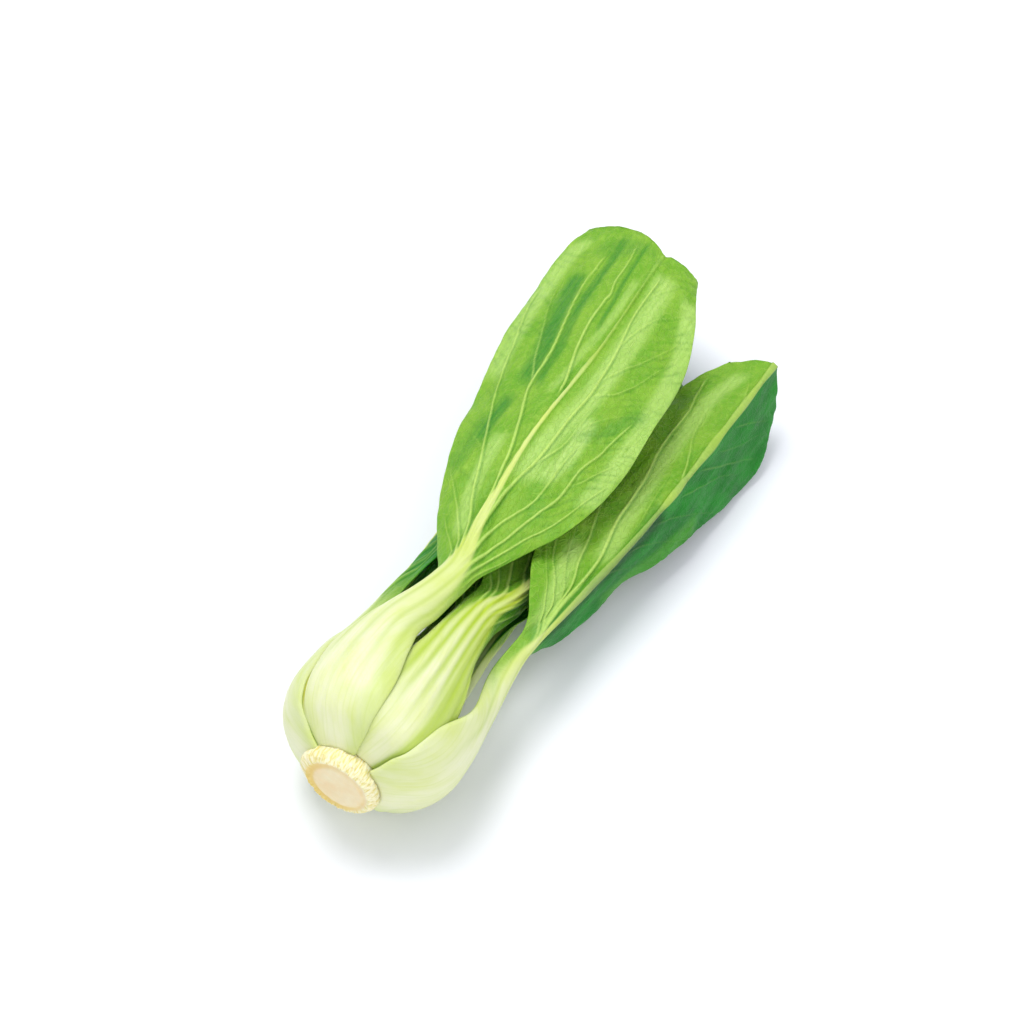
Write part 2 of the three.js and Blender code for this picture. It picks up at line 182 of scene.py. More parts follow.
class Leaf:
    """The facts of one leaf, with the number of rows and columns of its mesh."""

    def __init__(self, name, turn, span, thick, deep, heel, neck, waist, path, facing, blade, tip, lobe, fold, curl,
                 wave, rows, columns):
        self.name, self.turn, self.span, self.thick = name, turn, span, thick
        self.deep, self.heel, self.neck, self.waist = deep, heel, neck, waist
        self.path, self.facing, self.blade, self.tip, self.lobe = np.array(path, float), facing, blade, tip, lobe
        self.fold, self.curl, self.wave = np.radians(fold), np.radians(curl), wave
        self.rows, self.columns = rows, columns
        self.seed = turn % 360


BROAD, SLENDER = (0, 0.28, 0.74, 0.98), (0.08, 0.5, 0.87, 1)  # waists

LEAVES = [
    Leaf("leaf_01_left", 182, 43, 7.5, 0, 2, 7.5, BROAD,
         [[-26.2, 70, 30], [-25.7, 92, 27.5], [-29.5, 125, 23.5], [-33.5, 160, 21], [-33, 195, 19], [-30, 222, 17]],
         [176, 180, 178], [oblong(20), oblong(26)], [-9, -11], 0, [-4, 30], [8, 22], [1.2, 3, 0.3], (50, 110), 130),
    Leaf("leaf_02_right", -4, 46, 7.5, 0, 2, 3.4, SLENDER,
         [[27, 68, 30], [30.2, 84, 32.2], [32.4, 100, 32.2], [36.6, 130, 33.2], [39, 165, 33], [41.6, 222, 31.9]],
         [14, 54, 61],
         [[[0, 0], [0.05, 2.5], [0.12, 11.6], [0.2, 19.2], [0.32, 24.5], [0.48, 27.4], [0.66, 27.6], [0.82, 26],
           [0.93, 20.7], [1, 13.6]],
          [[0, 0], [0.04, 7.8], [0.1, 14.3], [0.18, 17.8], [0.28, 19.4], [0.4, 19.6], [0.6, 23], [0.75, 28.6],
           [0.88, 27.9], [1, 15.8]]],
         [-6.5, -5.8], 0, [34, 43], [6, 4], [1.2, 3, 1.2], (46, 200), 180),
    Leaf("leaf_03_top", 110, 34, 7, 0, 3.5, 6.6, BROAD,
         [[-4, 78, 51], [-7, 104, 49.5], [-9.2, 140, 51], [-7.2, 180, 51], [-10, 238, 47.5]],
         [97, 92, 90],
         [[[0, 2], [0.05, 8.9], [0.1, 13.4], [0.19, 20.3], [0.27, 23], [0.41, 28.8], [0.48, 32.6], [0.55, 35.4],
           [0.63, 36], [0.72, 37.7], [0.8, 39], [0.86, 38.8], [0.95, 36.2], [1, 33]],
          [[0, 0], [0.06, 9.3], [0.13, 18.5], [0.24, 29], [0.4, 33.6], [0.56, 31.5], [0.72, 29], [0.84, 23.4],
           [0.93, 18.3], [1, 14.8]]],
         [5.5, -3.9], 7, [6, 3], [16, 12], [1.4, 3, 2.1], (46, 206), 186),
    Leaf("leaf_04_under", 264, 39, 7.5, 0, 5, 8, BROAD,
         [[-3, 76, 5], [-4, 105, 4], [-5, 140, 3], [-5, 180, 3], [-4, 216, 3]],
         [268, 270, 270], [oblong(25), oblong(24)], [-11, -11], 0, [0, 0], [16, 16], [1.0, 3, 0.9], (50, 96), 116),
    Leaf("leaf_05_upper_right", 56, 33, 7, 2.6, 4.5, 7.6, BROAD,
         [[12, 72, 43], [14, 88, 35.5], [13.5, 106, 29.5], [13, 128, 28], [12, 160, 27.5], [12, 205, 25]],
         [58, 80, 82], [oblong(25), spoon(20)], [-11, -11], 0, [0, 8], [10, 14], [1.2, 3, 0.2], (64, 100), 160),
    Leaf("leaf_06_inner_left", 148, 32, 6, 8, 7, 6, BROAD,
         [[-13, 74, 37.5], [-12, 98, 31], [-9, 130, 25.5], [-8.5, 192, 24.5]],
         [135, 98, 92], [oblong(17), spoon(15)], [-9, -9], 0, [4, 4], [14, 14], [0.9, 3, 1.7], (42, 80), 84),
    Leaf("leaf_07_inner_right", 312, 34, 6, 8, 8, 6, BROAD,
         [[10.5, 76, 15], [11.5, 100, 13.2], [13, 135, 10], [13, 184, 9]],
         [300, 276, 272], [oblong(17), spoon(14)], [-9, -9], 0, [4, 4], [14, 14], [0.9, 3, 0.5], (42, 80), 84),
    Leaf("leaf_08_heart_top", 74, 36, 5, 13, 10, 4.6, BROAD,
         [[3, 72, 34.5], [2, 95, 26.5], [1, 125, 21], [1, 160, 20]],
         [80, 88, 90], [oblong(15), spoon(13)], [-8, -8], 0, [5, 5], [16, 16], [0.7, 2, 0.4], (40, 70), 70),
    Leaf("leaf_09_heart_left", 214, 38, 4.5, 15, 12, 4.5, BROAD,
         [[-7.5, 70, 22], [-8.5, 90, 17], [-9, 115, 14], [-9, 146, 13.5]],
         [218, 262, 270], [spoon(11), spoon(9.5)], [-7, -7], 0, [2, 2], [12, 12], [0.6, 2, 1.1], (40, 60), 60),
    Leaf("leaf_10_heart", 345, 38, 3.4, 18, 14, 2.4, BROAD,
         [[5.1, 66, 23.4], [4.3, 84, 19.2], [4.2, 100, 16.6], [4.2, 116, 16]],
         [335, 300, 278], [oblong(5.5), oblong(5.5)], [-5, -5], 0, [4, 4], [20, 20], [0.4, 2, 0.7], (36, 40), 48),
]
print(len(LEAVES), "leaves")

# %% [markdown]
# ## Packing the stalks
# The stalks of a real head are pressed into each other as they grow. They are laid in from the
# outside: a grid over the bulb holds how deep it is already filled, each new stalk starts where
# its place is still free, and then fills the grid with its own thickness. A younger stalk rises
# from under an older edge over a few degrees, which is the soft crease seen beside each edge.

# %% Stalks in the bulb
LEAVING, LEFT = 42, 70                      # where leaves begin to leave the bulb, and have left it
GRID_ROWS, GRID_TURN = 160, 1440            # along the outline and round it
filled = np.zeros((GRID_ROWS + 1, GRID_TURN))


def stalk_half_width(leaf, along):
    """From the stem out to the widest place and in again to the neck, by way of the four places of its waist."""
    widest = math.radians(leaf.span) * (WIDEST_RADIUS - leaf.deep)
    at_stem = math.radians(leaf.span) * STEM_RADIUS * 1.05
    waist = [[28 + 16 * i, blend(widest, leaf.neck, share)] for i, share in enumerate(leaf.waist)]
    return through([[0, at_stem], [12, blend(at_stem, widest, 0.62)], *waist, [90, leaf.neck]], along)


def thickness(middle, edge, distance, rib):
    """edge + (middle - edge) * (1 - (distance / rib)^2) to the power 1.2."""
    return edge + (middle - edge) * np.clip(1 - (distance / rib) ** 2, 0, 1) ** 1.2


def filled_to(along, angle):
    """How deep the bulb is filled, read between the four nearest places of the grid."""
    row = np.clip(along / SHELL_END * GRID_ROWS, 0, GRID_ROWS - 1e-6)
    column = (angle % 360) / 360 * GRID_TURN
    row, column = np.broadcast_arrays(row, column)
    r, c = row.astype(int), column.astype(int) % GRID_TURN
    nearby = [blend(filled[i, c], filled[i, (c + 1) % GRID_TURN], column % 1) for i in (r, r + 1)]
    return blend(nearby[0], nearby[1], row - r)


def stalk_depths(leaf, along, u):
    """(angle, half the angle it wraps, depth of its back, depth of its inner face). u is -1 at its left edge
    and 1 at its right."""
    radius = outline_radius(along) - leaf.deep * ease(along, 0, WIDEST)
    half_angle = np.degrees(stalk_half_width(leaf, along) / np.maximum(radius, 8))
    angle = leaf.turn - u * half_angle
    own = (leaf.deep * ease(along, 0, WIDEST * 1.2) + 1.6 * u**2 * ease(along, 8, 40)
           + leaf.heel * (1 - ease(along, 2, 26)))
    back = np.maximum(filled_to(along, angle), own)
    middle = leaf.thick * blend(0.55, 1, ease(along, 0, 22))
    return angle, half_angle, back, back + thickness(middle, STALK_EDGE, np.abs(u), 1)


def pack(leaf):
    """Fills the grid under the leaf with its inner face, easing off over the tuck beside it."""
    along = np.minimum(np.linspace(0, SHELL_END, GRID_ROWS + 1), SHELL_END - 1e-6)[:, None]
    off = (np.arange(GRID_TURN) * 360 / GRID_TURN - leaf.turn + 540) % 360 - 180
    half_angle = stalk_depths(leaf, along, np.zeros((1, 1)))[1]
    inner = stalk_depths(leaf, along, np.clip(-off / half_angle, -1, 1))[3] + SNUG
    under = 1 - ease(np.abs(off), half_angle + 2.5, half_angle + TUCK)
    filled[:] = blend(filled, np.maximum(inner, filled), under)


print("half widths of the first stalk:", np.round(stalk_half_width(LEAVES[0], np.array([0, 30, 60, 90])), 1))

# %% [markdown]
# ## A blade
# Past the bulb a leaf follows its own middle line. Each half of the blade leaves the midrib at
# an angle, the fold, and goes on bending, the curl. The margin ripples, and the shoulders of the
# tip lie a little behind its middle.

# %% Middle line and blade
def middle_line(leaf, starts, y):
    """Place, and the ways along, out of the back and to the right, at each y."""
    points = np.vstack([starts, leaf.path])
    xs, zs = points[:, [1, 0]], points[:, [1, 2]]
    neck_y, tip_y = leaf.path[0, 1], leaf.path[-1, 1]
    at = np.stack([through(xs, y), y, through(zs, y)], -1)
    run = np.stack([through(xs, y + 0.5) - through(xs, y - 0.5), np.ones_like(y),
                    through(zs, y + 0.5) - through(zs, y - 0.5)], -1)
    run /= np.linalg.norm(run, axis=-1, keepdims=True)
    angle = np.radians(through([[starts[0][1], leaf.turn], [neck_y, leaf.facing[0]],
                                [blend(neck_y, tip_y, 0.5), leaf.facing[1]], [tip_y, leaf.facing[2]]], y))
    back = np.stack([np.cos(angle), 0 * angle, np.sin(angle)], -1)
    back -= run * np.sum(back * run, -1, keepdims=True)
    back /= np.linalg.norm(back, axis=-1, keepdims=True)
    return at, run, back, np.cross(run, back)


def blade(leaf, line, share, stalk_width, u):
    """Inner and outer faces past the bulb, and half of the width that they have. A half is an arc: it leaves the
    midrib at the fold and has turned by the curl at its margin, so its ways out and down are half / curl times
    differences of sines and cosines."""
    at, run, back, right = (way[:, None, :] for way in line)
    share, stalk_width, u = share[:, None], stalk_width[:, None], u[None, :]
    left = u < 0
    spread, near_tip = ease(share, 0, 0.3), ease(share, 0.35, 1)
    sunk = blend(leaf.thick * NECK_LEFT, RIB_THICKNESS, ease(share, -0.1, 0.8) ** 0.7)
    rib = blend(stalk_width, 1.0, ease(share, -0.02, 0.5) ** 0.5)
    middle = blend(leaf.thick * NECK_LEFT, RIB_THICKNESS, ease(share, -0.1, 0.5) ** 0.6)
    edge = blend(STALK_EDGE, BLADE_THICKNESS, ease(share, 0, 0.1))
    width = np.where(left, through(leaf.blade[0], share), through(leaf.blade[1], share))
    half = np.hypot(width, stalk_width * (1 - spread * 0.6))
    fold = blend(0, np.where(left, leaf.fold[0], leaf.fold[1]), spread)
    curl = blend(STALK_CURL, np.where(left, leaf.curl[0], leaf.curl[1]), spread)
    bend = fold + curl * np.abs(u)
    out = half / curl * (np.sin(bend) - np.sin(fold))
    drop = half / curl * (np.cos(fold) - np.cos(bend))
    height, count, phase = leaf.wave
    ripple = height * spread * u**2 * np.sin(2 * np.pi * count * share + phase + np.where(left, 0, 2.2))
    ahead = near_tip * (np.where(left, leaf.tip[0], leaf.tip[1]) * (1 - np.cos(u * np.pi / 2))
                        + np.where(left, leaf.lobe * np.sin(np.abs(u) * np.pi), 0))
    outwards = back * np.cos(bend)[..., None] + right * (np.sign(u) * np.sin(bend))[..., None]
    inner = (at + right * (np.sign(u) * out)[..., None] - back * (drop + sunk)[..., None]
             + run * ahead[..., None] + outwards * ripple[..., None])
    thick = thickness(middle, edge, np.abs(u) * half, np.minimum(rib, half))
    return inner, inner + outwards * thick[..., None], half


print("from neck to tip:", [float(leaf.path[-1, 1] - leaf.path[0, 1]) for leaf in LEAVES], "mm")

# %% [markdown]
# ## Veins
# On a blade seen from a step away the midrib stands out as a pale cord, and side veins leave it
# low down at small angles and run almost beside it to the margin. A vein is a curve through a few
# places, each given as its share of the way from neck to tip and its place u across the blade.
# Its distance from every point of the blade then gives a soft ridge and a pale line. Drawing
# them as a picture would fail up close, so they are height in the mesh as well as colour. The two
# uppermost leaves have their own veins, and the others get a fan of them from a seed. Every
# strong vein sends out short twigs, and a shallow trench runs along its right side, coloured a
# darker green as a painted shadow, which makes the vein stand up.

# %% Veins of the top leaf
TOP_VEINS = [
    ([[0.023, -0.056], [0.104, -0.055], [0.201, -0.063], [0.267, -0.119], [0.314, -0.134], [0.355, -0.174],
      [0.393, -0.23], [0.433, -0.301], [0.456, -0.341], [0.485, -0.388], [0.514, -0.408], [0.573, -0.413],
      [0.613, -0.433], [0.692, -0.487], [0.79, -0.531], [0.86, -0.526], [0.903, -0.524]], 1.0),
    ([[0.504, -0.051], [0.545, -0.09], [0.591, -0.158], [0.63, -0.206], [0.712, -0.251], [0.785, -0.244],
      [0.806, -0.228], [0.842, -0.256], [0.913, -0.269], [0.968, -0.313]], 0.9),
    ([[0.499, -0.4], [0.533, -0.461], [0.567, -0.537], [0.645, -0.644], [0.734, -0.742], [0.805, -0.78]], 0.6),
    ([[0.034, -0.124], [0.104, -0.203], [0.152, -0.27], [0.19, -0.358], [0.226, -0.421], [0.287, -0.488],
      [0.315, -0.521], [0.378, -0.615], [0.44, -0.714], [0.521, -0.792], [0.596, -0.84], [0.713, -0.932],
      [0.794, -0.948]], 0.8),
    ([[0.31, -0.515], [0.337, -0.664], [0.357, -0.832]], 0.5),
    ([[0.445, -0.746], [0.459, -0.83], [0.479, -0.937]], 0.4),
    ([[0.024, -0.181], [0.084, -0.346], [0.125, -0.448], [0.175, -0.604], [0.215, -0.745], [0.256, -0.906]], 0.7),
    ([[0.005, -0.304], [0.058, -0.478], [0.079, -0.563], [0.115, -0.714], [0.152, -0.805]], 0.6),
    ([[0.084, 0.055], [0.163, 0.07], [0.22, 0.077], [0.271, 0.121], [0.314, 0.176], [0.367, 0.207], [0.459, 0.212],
      [0.536, 0.227], [0.593, 0.208], [0.655, 0.184], [0.693, 0.165], [0.774, 0.121], [0.842, 0.137],
      [0.919, 0.191]], 0.95),
    ([[0.31, 0.176], [0.34, 0.245], [0.384, 0.324], [0.455, 0.343], [0.523, 0.359]], 0.6),
    ([[0.679, 0.169], [0.724, 0.216], [0.756, 0.276], [0.787, 0.36], [0.809, 0.466], [0.836, 0.672],
      [0.868, 0.909]], 0.5),
    ([[0.522, 0.234], [0.547, 0.304], [0.56, 0.417], [0.59, 0.508], [0.622, 0.588], [0.67, 0.678],
      [0.708, 0.782]], 0.5),
    ([[0.002, 0.139], [0.046, 0.19], [0.097, 0.196], [0.15, 0.263], [0.184, 0.343], [0.219, 0.411], [0.262, 0.43],
      [0.331, 0.426], [0.402, 0.452]], 0.85),
    ([[-0.02, 0.4], [0.038, 0.41], [0.084, 0.458], [0.121, 0.526], [0.17, 0.538], [0.211, 0.569], [0.25, 0.612],
      [0.299, 0.612], [0.349, 0.612], [0.411, 0.679], [0.45, 0.705], [0.526, 0.785]], 0.9),
    ([[0.297, 0.612], [0.317, 0.692], [0.342, 0.736], [0.373, 0.791], [0.426, 0.899]], 0.5),
    ([[-0.02, 0.6], [0.033, 0.623], [0.06, 0.664], [0.101, 0.723], [0.149, 0.763], [0.187, 0.81], [0.227, 0.833],
      [0.281, 0.865], [0.34, 0.928]], 0.75),
    ([[-0.03, 0.75], [0.019, 0.836], [0.063, 0.918], [0.09, 0.917]], 0.6),
    ([[0.581, 0.225], [0.639, 0.367], [0.673, 0.482], [0.71, 0.598], [0.746, 0.708], [0.785, 0.848]], 0.5),
    ([[0.839, 0.142], [0.878, 0.284], [0.916, 0.513], [0.943, 0.708]], 0.35),
    ([[0.443, 0.344], [0.495, 0.505], [0.534, 0.671], [0.563, 0.869]], 0.4),
    ([[0.794, -0.534], [0.861, -0.654], [0.919, -0.778]], 0.35),
]

# %% Veins of the right leaf
RIGHT_VEINS = [
    ([[0.09, -0.165], [0.205, -0.109], [0.251, -0.112], [0.299, -0.148], [0.344, -0.222], [0.387, -0.294],
      [0.427, -0.337], [0.475, -0.361], [0.549, -0.399], [0.628, -0.483], [0.699, -0.528], [0.786, -0.546],
      [0.862, -0.675], [0.919, -0.809]], 1.0),
    ([[0.054, -0.154], [0.128, -0.171], [0.197, -0.18], [0.232, -0.256], [0.26, -0.338], [0.32, -0.434],
      [0.393, -0.571], [0.474, -0.678], [0.559, -0.759]], 0.8),
    ([[0.072, -0.207], [0.149, -0.186], [0.188, -0.261], [0.212, -0.387], [0.27, -0.561], [0.348, -0.699]], 0.6),
    ([[0.029, -0.111], [0.109, -0.264], [0.137, -0.283], [0.166, -0.405], [0.197, -0.527], [0.223, -0.666],
      [0.277, -0.803], [0.342, -0.919]], 0.7),
    ([[0.029, -0.216], [0.107, -0.399], [0.132, -0.508], [0.174, -0.618], [0.212, -0.762], [0.256, -0.911]], 0.6),
    ([[0.574, -0.003], [0.631, -0.095], [0.666, -0.164], [0.704, -0.252], [0.742, -0.309], [0.79, -0.348]], 0.6),
    ([[0.854, -0.021], [0.892, -0.075], [0.913, -0.13], [0.957, -0.296], [0.987, -0.462]], 0.4),
    ([[0.441, -0.091], [0.489, -0.132], [0.567, -0.173], [0.602, -0.182]], 0.4),
    ([[0.56, 0.143], [0.604, 0.266], [0.63, 0.323], [0.678, 0.425], [0.719, 0.497], [0.781, 0.677]], 0.6),
    ([[0.644, 0.098], [0.702, 0.294], [0.757, 0.452], [0.827, 0.648], [0.873, 0.816]], 0.7),
    ([[0.721, 0.135], [0.756, 0.248], [0.808, 0.382], [0.85, 0.471], [0.882, 0.55], [0.917, 0.696]], 0.5),
    ([[0.796, 0.09], [0.824, 0.168], [0.86, 0.273], [0.905, 0.461], [0.945, 0.684]], 0.6),
    ([[0.464, 0.139], [0.525, 0.351], [0.587, 0.6], [0.65, 0.832], [0.713, 1.0]], 0.5),
    ([[0.365, 0.171], [0.421, 0.317], [0.475, 0.589], [0.526, 0.839], [0.586, 1.0]], 0.5),
    ([[0.249, 0.129], [0.312, 0.241], [0.379, 0.593], [0.446, 0.92], [0.485, 1.0]], 0.5),
]
print(len(TOP_VEINS), "veins on the top leaf,", len(RIGHT_VEINS), "on the right one")

# %% Veins by seed
def fan(seed):
    """A fan of side veins: they leave the neck and the midrib in turn, on both sides, and most of them fork."""
    draw = np.random.default_rng(seed)
    veins = []
    for side in (-1, 1):
        for start, end, far in ((-0.1, 0.26, 0.97), (-0.06, 0.45, 0.97), (0.0, 0.66, 0.95), (0.12, 0.82, 0.92),
                                (0.3, 0.92, 0.82), (0.5, 0.98, 0.66), (0.7, 0.99, 0.45)):
            start, end = start + draw.uniform(-0.03, 0.03), end + draw.uniform(-0.04, 0.04)
            at = np.array([0, 0.12, 0.3, 0.55, 0.8, 1])
            out = np.clip(far * np.array([0.03, 0.2, 0.42, 0.68, 0.88, 1]) * draw.uniform(0.93, 1.07, 6), 0, 0.99)
            veins.append((np.c_[start + (end - start) * at, side * out], draw.uniform(0.6, 1)))
            fork = draw.uniform(0.35, 0.6)
            where, u = start + (end - start) * fork, np.interp(fork, at, out)
            veins.append(([[where, side * u], [blend(where, end, 0.45), side * blend(u, 1, 0.62)],
                           [blend(where, end, 0.75), side * 0.99]], 0.45))
    return veins


def twigs(veins, seed):
    """Short weak veins that leave a strong one on both sides every few millimetres and sweep forward."""
    draw = np.random.default_rng(seed)
    made = []
    for points, weight in veins:
        points = np.array(points, float)
        if weight < 0.5:
            continue
        for side in (-1, 1):
            share = points[0, 0] + 0.05 + draw.uniform(0, 0.04)
            while share < points[-1, 0] - 0.02:
                u, reach = through(points, share), draw.uniform(0.5, 1)
                out = np.sign(u) if np.sign(u) == side or draw.uniform() < 0.6 else side
                made.append(([[share, u], [share + 0.022 * reach, u + side * 0.07 * reach],
                              [share + 0.055 * reach, u + side * 0.13 * reach + 0.02 * out]],
                             0.3 * draw.uniform(0.6, 1)))
                share += draw.uniform(0.03, 0.06)
    return made


print(len(fan(1)), "veins in a fan, with", len(twigs(fan(1), 1)), "twigs")

# %% Distance from a vein or a band
def beside(points, share, u, half, length):
    """(distance in mm from a curve on the blade, share of the way along it, 1 between its ends)."""
    points, small = np.array(points, float), 0.01
    start, end = points[0, 0], points[-1, 0]
    middle = through(points, share)
    slant = (through(points, share + small) - middle) * half / (small * length)
    distance = (u - middle) * half / np.sqrt(1 + slant**2)
    here = ease(share, start - 0.02, start + 0.03) * (1 - ease(share, end - 0.02, end + 0.02))
    return distance, np.clip((share - start) / (end - start), 0, 1), here


def near_veins(veins, *blade_facts):
    """(strength of the nearest vein from 0 to 1, exp(-(distance / width)^2) and weaker towards its end; the
    trench to the right of it, the same bell 1.6 widths away)."""
    strength, trench = 0, 0
    for points, weight in veins:
        distance, t, here = beside(points, *blade_facts)
        width = blend(0.55, 0.38, t) * (0.7 + 0.3 * weight)
        here = weight * (1 - 0.4 * t) * here
        strength = np.maximum(strength, here * np.exp(-(distance / width) ** 2))
        trench = np.maximum(trench, here * np.exp(-(distance / width - 1.6) ** 2))
    return strength, trench * (1 - strength)


def near_bands(bands, *blade_facts):
    """The same for broad bands, with one width to the left and one to the right: exp(-(distance / width)^4)."""
    strength = 0 * blade_facts[0] + 0 * blade_facts[1]
    for points, left, right, weight in bands:
        distance, _, here = beside(points, *blade_facts)
        width = np.where(distance < 0, left, right)
        strength = np.maximum(strength, weight * here * np.exp(-(distance / width) ** 4))
    return strength


print("a twentieth beside a straight vein:", round(float(beside([[0, 0], [1, 0]], 0.5, 0.05, 30, 150)[0]), 1), "mm")

# %% [markdown]
# ## What is special to each leaf
# The grooves of a stalk, the sunken bands of darker green, some of which are painted shade, the pale
# bands of painted sheen, the creases and the frill of the margin differ from leaf to leaf. They are kept
# in one table, so a leaf that shows much can be worked on without touching the others. The darker and the
# pale bands each have their places, their widths to the left and right in millimetres, and their strength.
# A pair of numbers is for the left and the right half of the leaf.

# %% Looks of the leaves
PALE_RIB = [[-0.2, 7], [-0.05, 3.8], [0.05, 2.0], [0.12, 1.3], [0.2, 0.85], [0.35, 0.6], [0.6, 0.42], [1, 0.28]]


class Look:
    """`rib`: half width of the pale midrib from neck to tip. `dark`: painted shade, how far a half that turns away
    from the lamp is coloured the deep green of the inner face, its border as sharp as `sharp`. `painted_shade_wing`:
    the same
    painted shade at the edges of the stalk, from far below the neck. `flush`: green of the stalk's margin. `fade`:
    (start, end, strength) of the loss of white along the midrib. `frill`, `wrinkle`: height of the margin's ripples
    and depth of the creases. `notch`: (place u, depth)."""

    def __init__(self, veins=None, rib=PALE_RIB, rib_height=0.6, grooves=(-0.6, -0.2, 0.25, 0.62), groove_depth=0.15,
                 groove_tint=0.3, valleys=(), patches=(), dark=(0, 0), sharp=1.0, painted_shade_wing=(0, 0), flush=(0.45, 0.45),
                 fade=(0.25, 0.9, 0.8), frill=(0.35, 0.35), wrinkle=(0.15, 0.15), notch=(0, 0)):
        self.veins, self.rib, self.rib_height = veins, rib, rib_height
        self.grooves, self.groove_depth, self.groove_tint = grooves, groove_depth, groove_tint
        self.valleys, self.patches, self.dark, self.sharp, self.painted_shade_wing = valleys, patches, dark, sharp, painted_shade_wing
        self.flush, self.fade, self.frill, self.wrinkle, self.notch = flush, fade, frill, wrinkle, notch


LOOKS = {
    "leaf_03_top": Look(
        TOP_VEINS, rib_height=0.3, grooves=(-0.55, -0.12, 0.38, 0.72), groove_depth=0.16,
        rib=[[-0.2, 6.5], [-0.05, 3.6], [0.05, 1.9], [0.12, 1.2], [0.2, 0.8], [0.35, 0.5], [0.6, 0.35], [1, 0.25]],
        valleys=[([[0.5, -0.46], [0.595, -0.5], [0.675, -0.56], [0.755, -0.6], [0.84, -0.62]], 4.4, 2.2, 0.85),
                 ([[0.33, -0.66], [0.4, -0.6], [0.46, -0.55]], 2.8, 2.4, 0.8),
                 ([[0.5, -0.33], [0.557, -0.37], [0.604, -0.38], [0.66, -0.42], [0.73, -0.45], [0.802, -0.46],
                   [0.86, -0.45], [0.917, -0.46], [0.975, -0.5]], 1.2, 2.2, 0.75),
                 ([[0.7, -0.14], [0.751, -0.16], [0.797, -0.17], [0.838, -0.18], [0.887, -0.2], [0.95, -0.21],
                   [0.99, -0.22]], 0.9, 0.9, 0.6),
                 ([[0.25, -0.9], [0.293, -0.81], [0.356, -0.71], [0.4, -0.7]], 3.5, 3.0, 0.5),
                 ([[0.42, 0.43], [0.47, 0.58], [0.52, 0.72], [0.56, 0.84]], 2.6, 2.6, 0.4),
                 ([[0.9, -0.6], [0.95, -0.4], [0.985, -0.2]], 5, 5, 0.4)],
        # Painted sheen: pale bands where the light glances off the back of the blade.
        patches=[([[0.265, 0.15], [0.352, 0.17], [0.415, 0.2], [0.484, 0.24], [0.547, 0.25], [0.611, 0.24],
                   [0.678, 0.24], [0.767, 0.25], [0.854, 0.28], [0.93, 0.3]], 4.2, 4.4, 0.8),
                 ([[0.28, 0.36], [0.36, 0.42], [0.427, 0.42], [0.481, 0.38]], 3.2, 3.2, 0.9),
                 ([[0.5, -0.16], [0.62, -0.12], [0.75, -0.08], [0.88, -0.08]], 1.6, 1.4, 0.5),
                 ([[0.1, -0.4], [0.24, -0.44], [0.36, -0.38]], 2.6, 3, 0.7),
                 ([[0.5, -0.86], [0.6, -0.88], [0.7, -0.9], [0.85, -0.88], [0.95, -0.84]], 5, 3.5, 0.7),
                 ([[0.26, 0.9], [0.35, 0.88], [0.476, 0.91], [0.581, 0.9], [0.694, 0.88], [0.8, 0.88], [0.9, 0.85]],
                  3.4, 4, 0.75)],
        flush=(0.4, 0.6), frill=(0.12, 0.25), wrinkle=(0.08, 0.3), notch=(0.05, 1.6)),
    "leaf_02_right": Look(
        RIGHT_VEINS, rib_height=0.15, grooves=(-0.5, 0.0, 0.5), groove_depth=0.08, groove_tint=0.25,
        rib=[[-0.2, 3.4], [-0.05, 2.0], [0.05, 0.8], [0.15, 0.35], [0.4, 0.3], [0.7, 0.45], [0.85, 0.55], [1, 0.3]],
        # Painted shade: the first band is the shadow that the top leaf's margin casts on the left half, the second
        # the shade deep in the fold beside the midrib.
        valleys=[([[0.25, -0.95], [0.35, -0.9], [0.5, -0.9], [0.62, -0.93], [0.75, -0.97]], 8, 3.5, 0.35),
                 ([[0.05, 0.12], [0.2, 0.14], [0.35, 0.12], [0.5, 0.04]], 4, 4.5, 0.9)],
        # Painted sheen: lighter bands on both halves of this leaf.
        patches=[([[0.06, -0.3], [0.14, -0.34], [0.22, -0.42], [0.3, -0.5]], 3.4, 3, 0.7),
                 ([[0.28, 0.85], [0.4, 0.88], [0.5, 0.85], [0.6, 0.8]], 3.5, 4, 0.9),
                 ([[0.3, -0.13], [0.36, -0.19], [0.421, -0.25], [0.51, -0.31], [0.604, -0.37], [0.68, -0.39],
                   [0.745, -0.4], [0.86, -0.43], [0.94, -0.38]], 3, 3.4, 0.6)],
        # Painted shade: the right half faces away from the lamp, so its back is coloured the deep green of the inner
        # face.
        dark=(0, 1), sharp=0.8, flush=(0.3, 0.4), fade=(-0.05, 0.3, 0.6), frill=(0.15, 0.5), wrinkle=(0.15, 0.3)),
    # Painted shade: the right side of this stalk and blade turns away from the lamp and is coloured deep green, and
    # its wide yellow-green flush stands partly for that shade as well.
    "leaf_05_upper_right": Look(grooves=(-0.7, -0.4, -0.1, 0.2, 0.48, 0.76), groove_depth=0.3, groove_tint=0.6,
                                dark=(0.1, 0.5), painted_shade_wing=(0, 0.3), flush=(0.8, 2.0)),
    # Painted shade: the strip of this leaf that shows beside the top leaf faces away from the lamp and is coloured
    # deep green.
    "leaf_01_left": Look(rib=[[-0.2, 7], [-0.05, 3], [0.02, 0.9], [0.08, 0.3], [1, 0.25]], dark=(0.6, 0.9)),
}
print("special looks:", sorted(LOOKS))

# %% [markdown]
# ## One whole leaf
# A leaf is one closed surface: rows from the foot to the tip, and round each row a loop that goes
# over the back and returns over the inner face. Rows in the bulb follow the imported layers, rows
# past it the middle line, and between the two they change smoothly from one to the other. Columns
# crowd at the midrib and at the margins, where forms are smallest.

# %% Rows of a leaf
def columns_of(count):
    """u across a leaf: c - k sin(2 pi c) / 2 pi on each half crowds the columns at the midrib and the margin."""
    c = np.linspace(0, 1, count // 2 + 1)
    half = c - 0.35 * np.sin(2 * np.pi * c) / (2 * np.pi)
    return np.r_[-half[:0:-1], half]


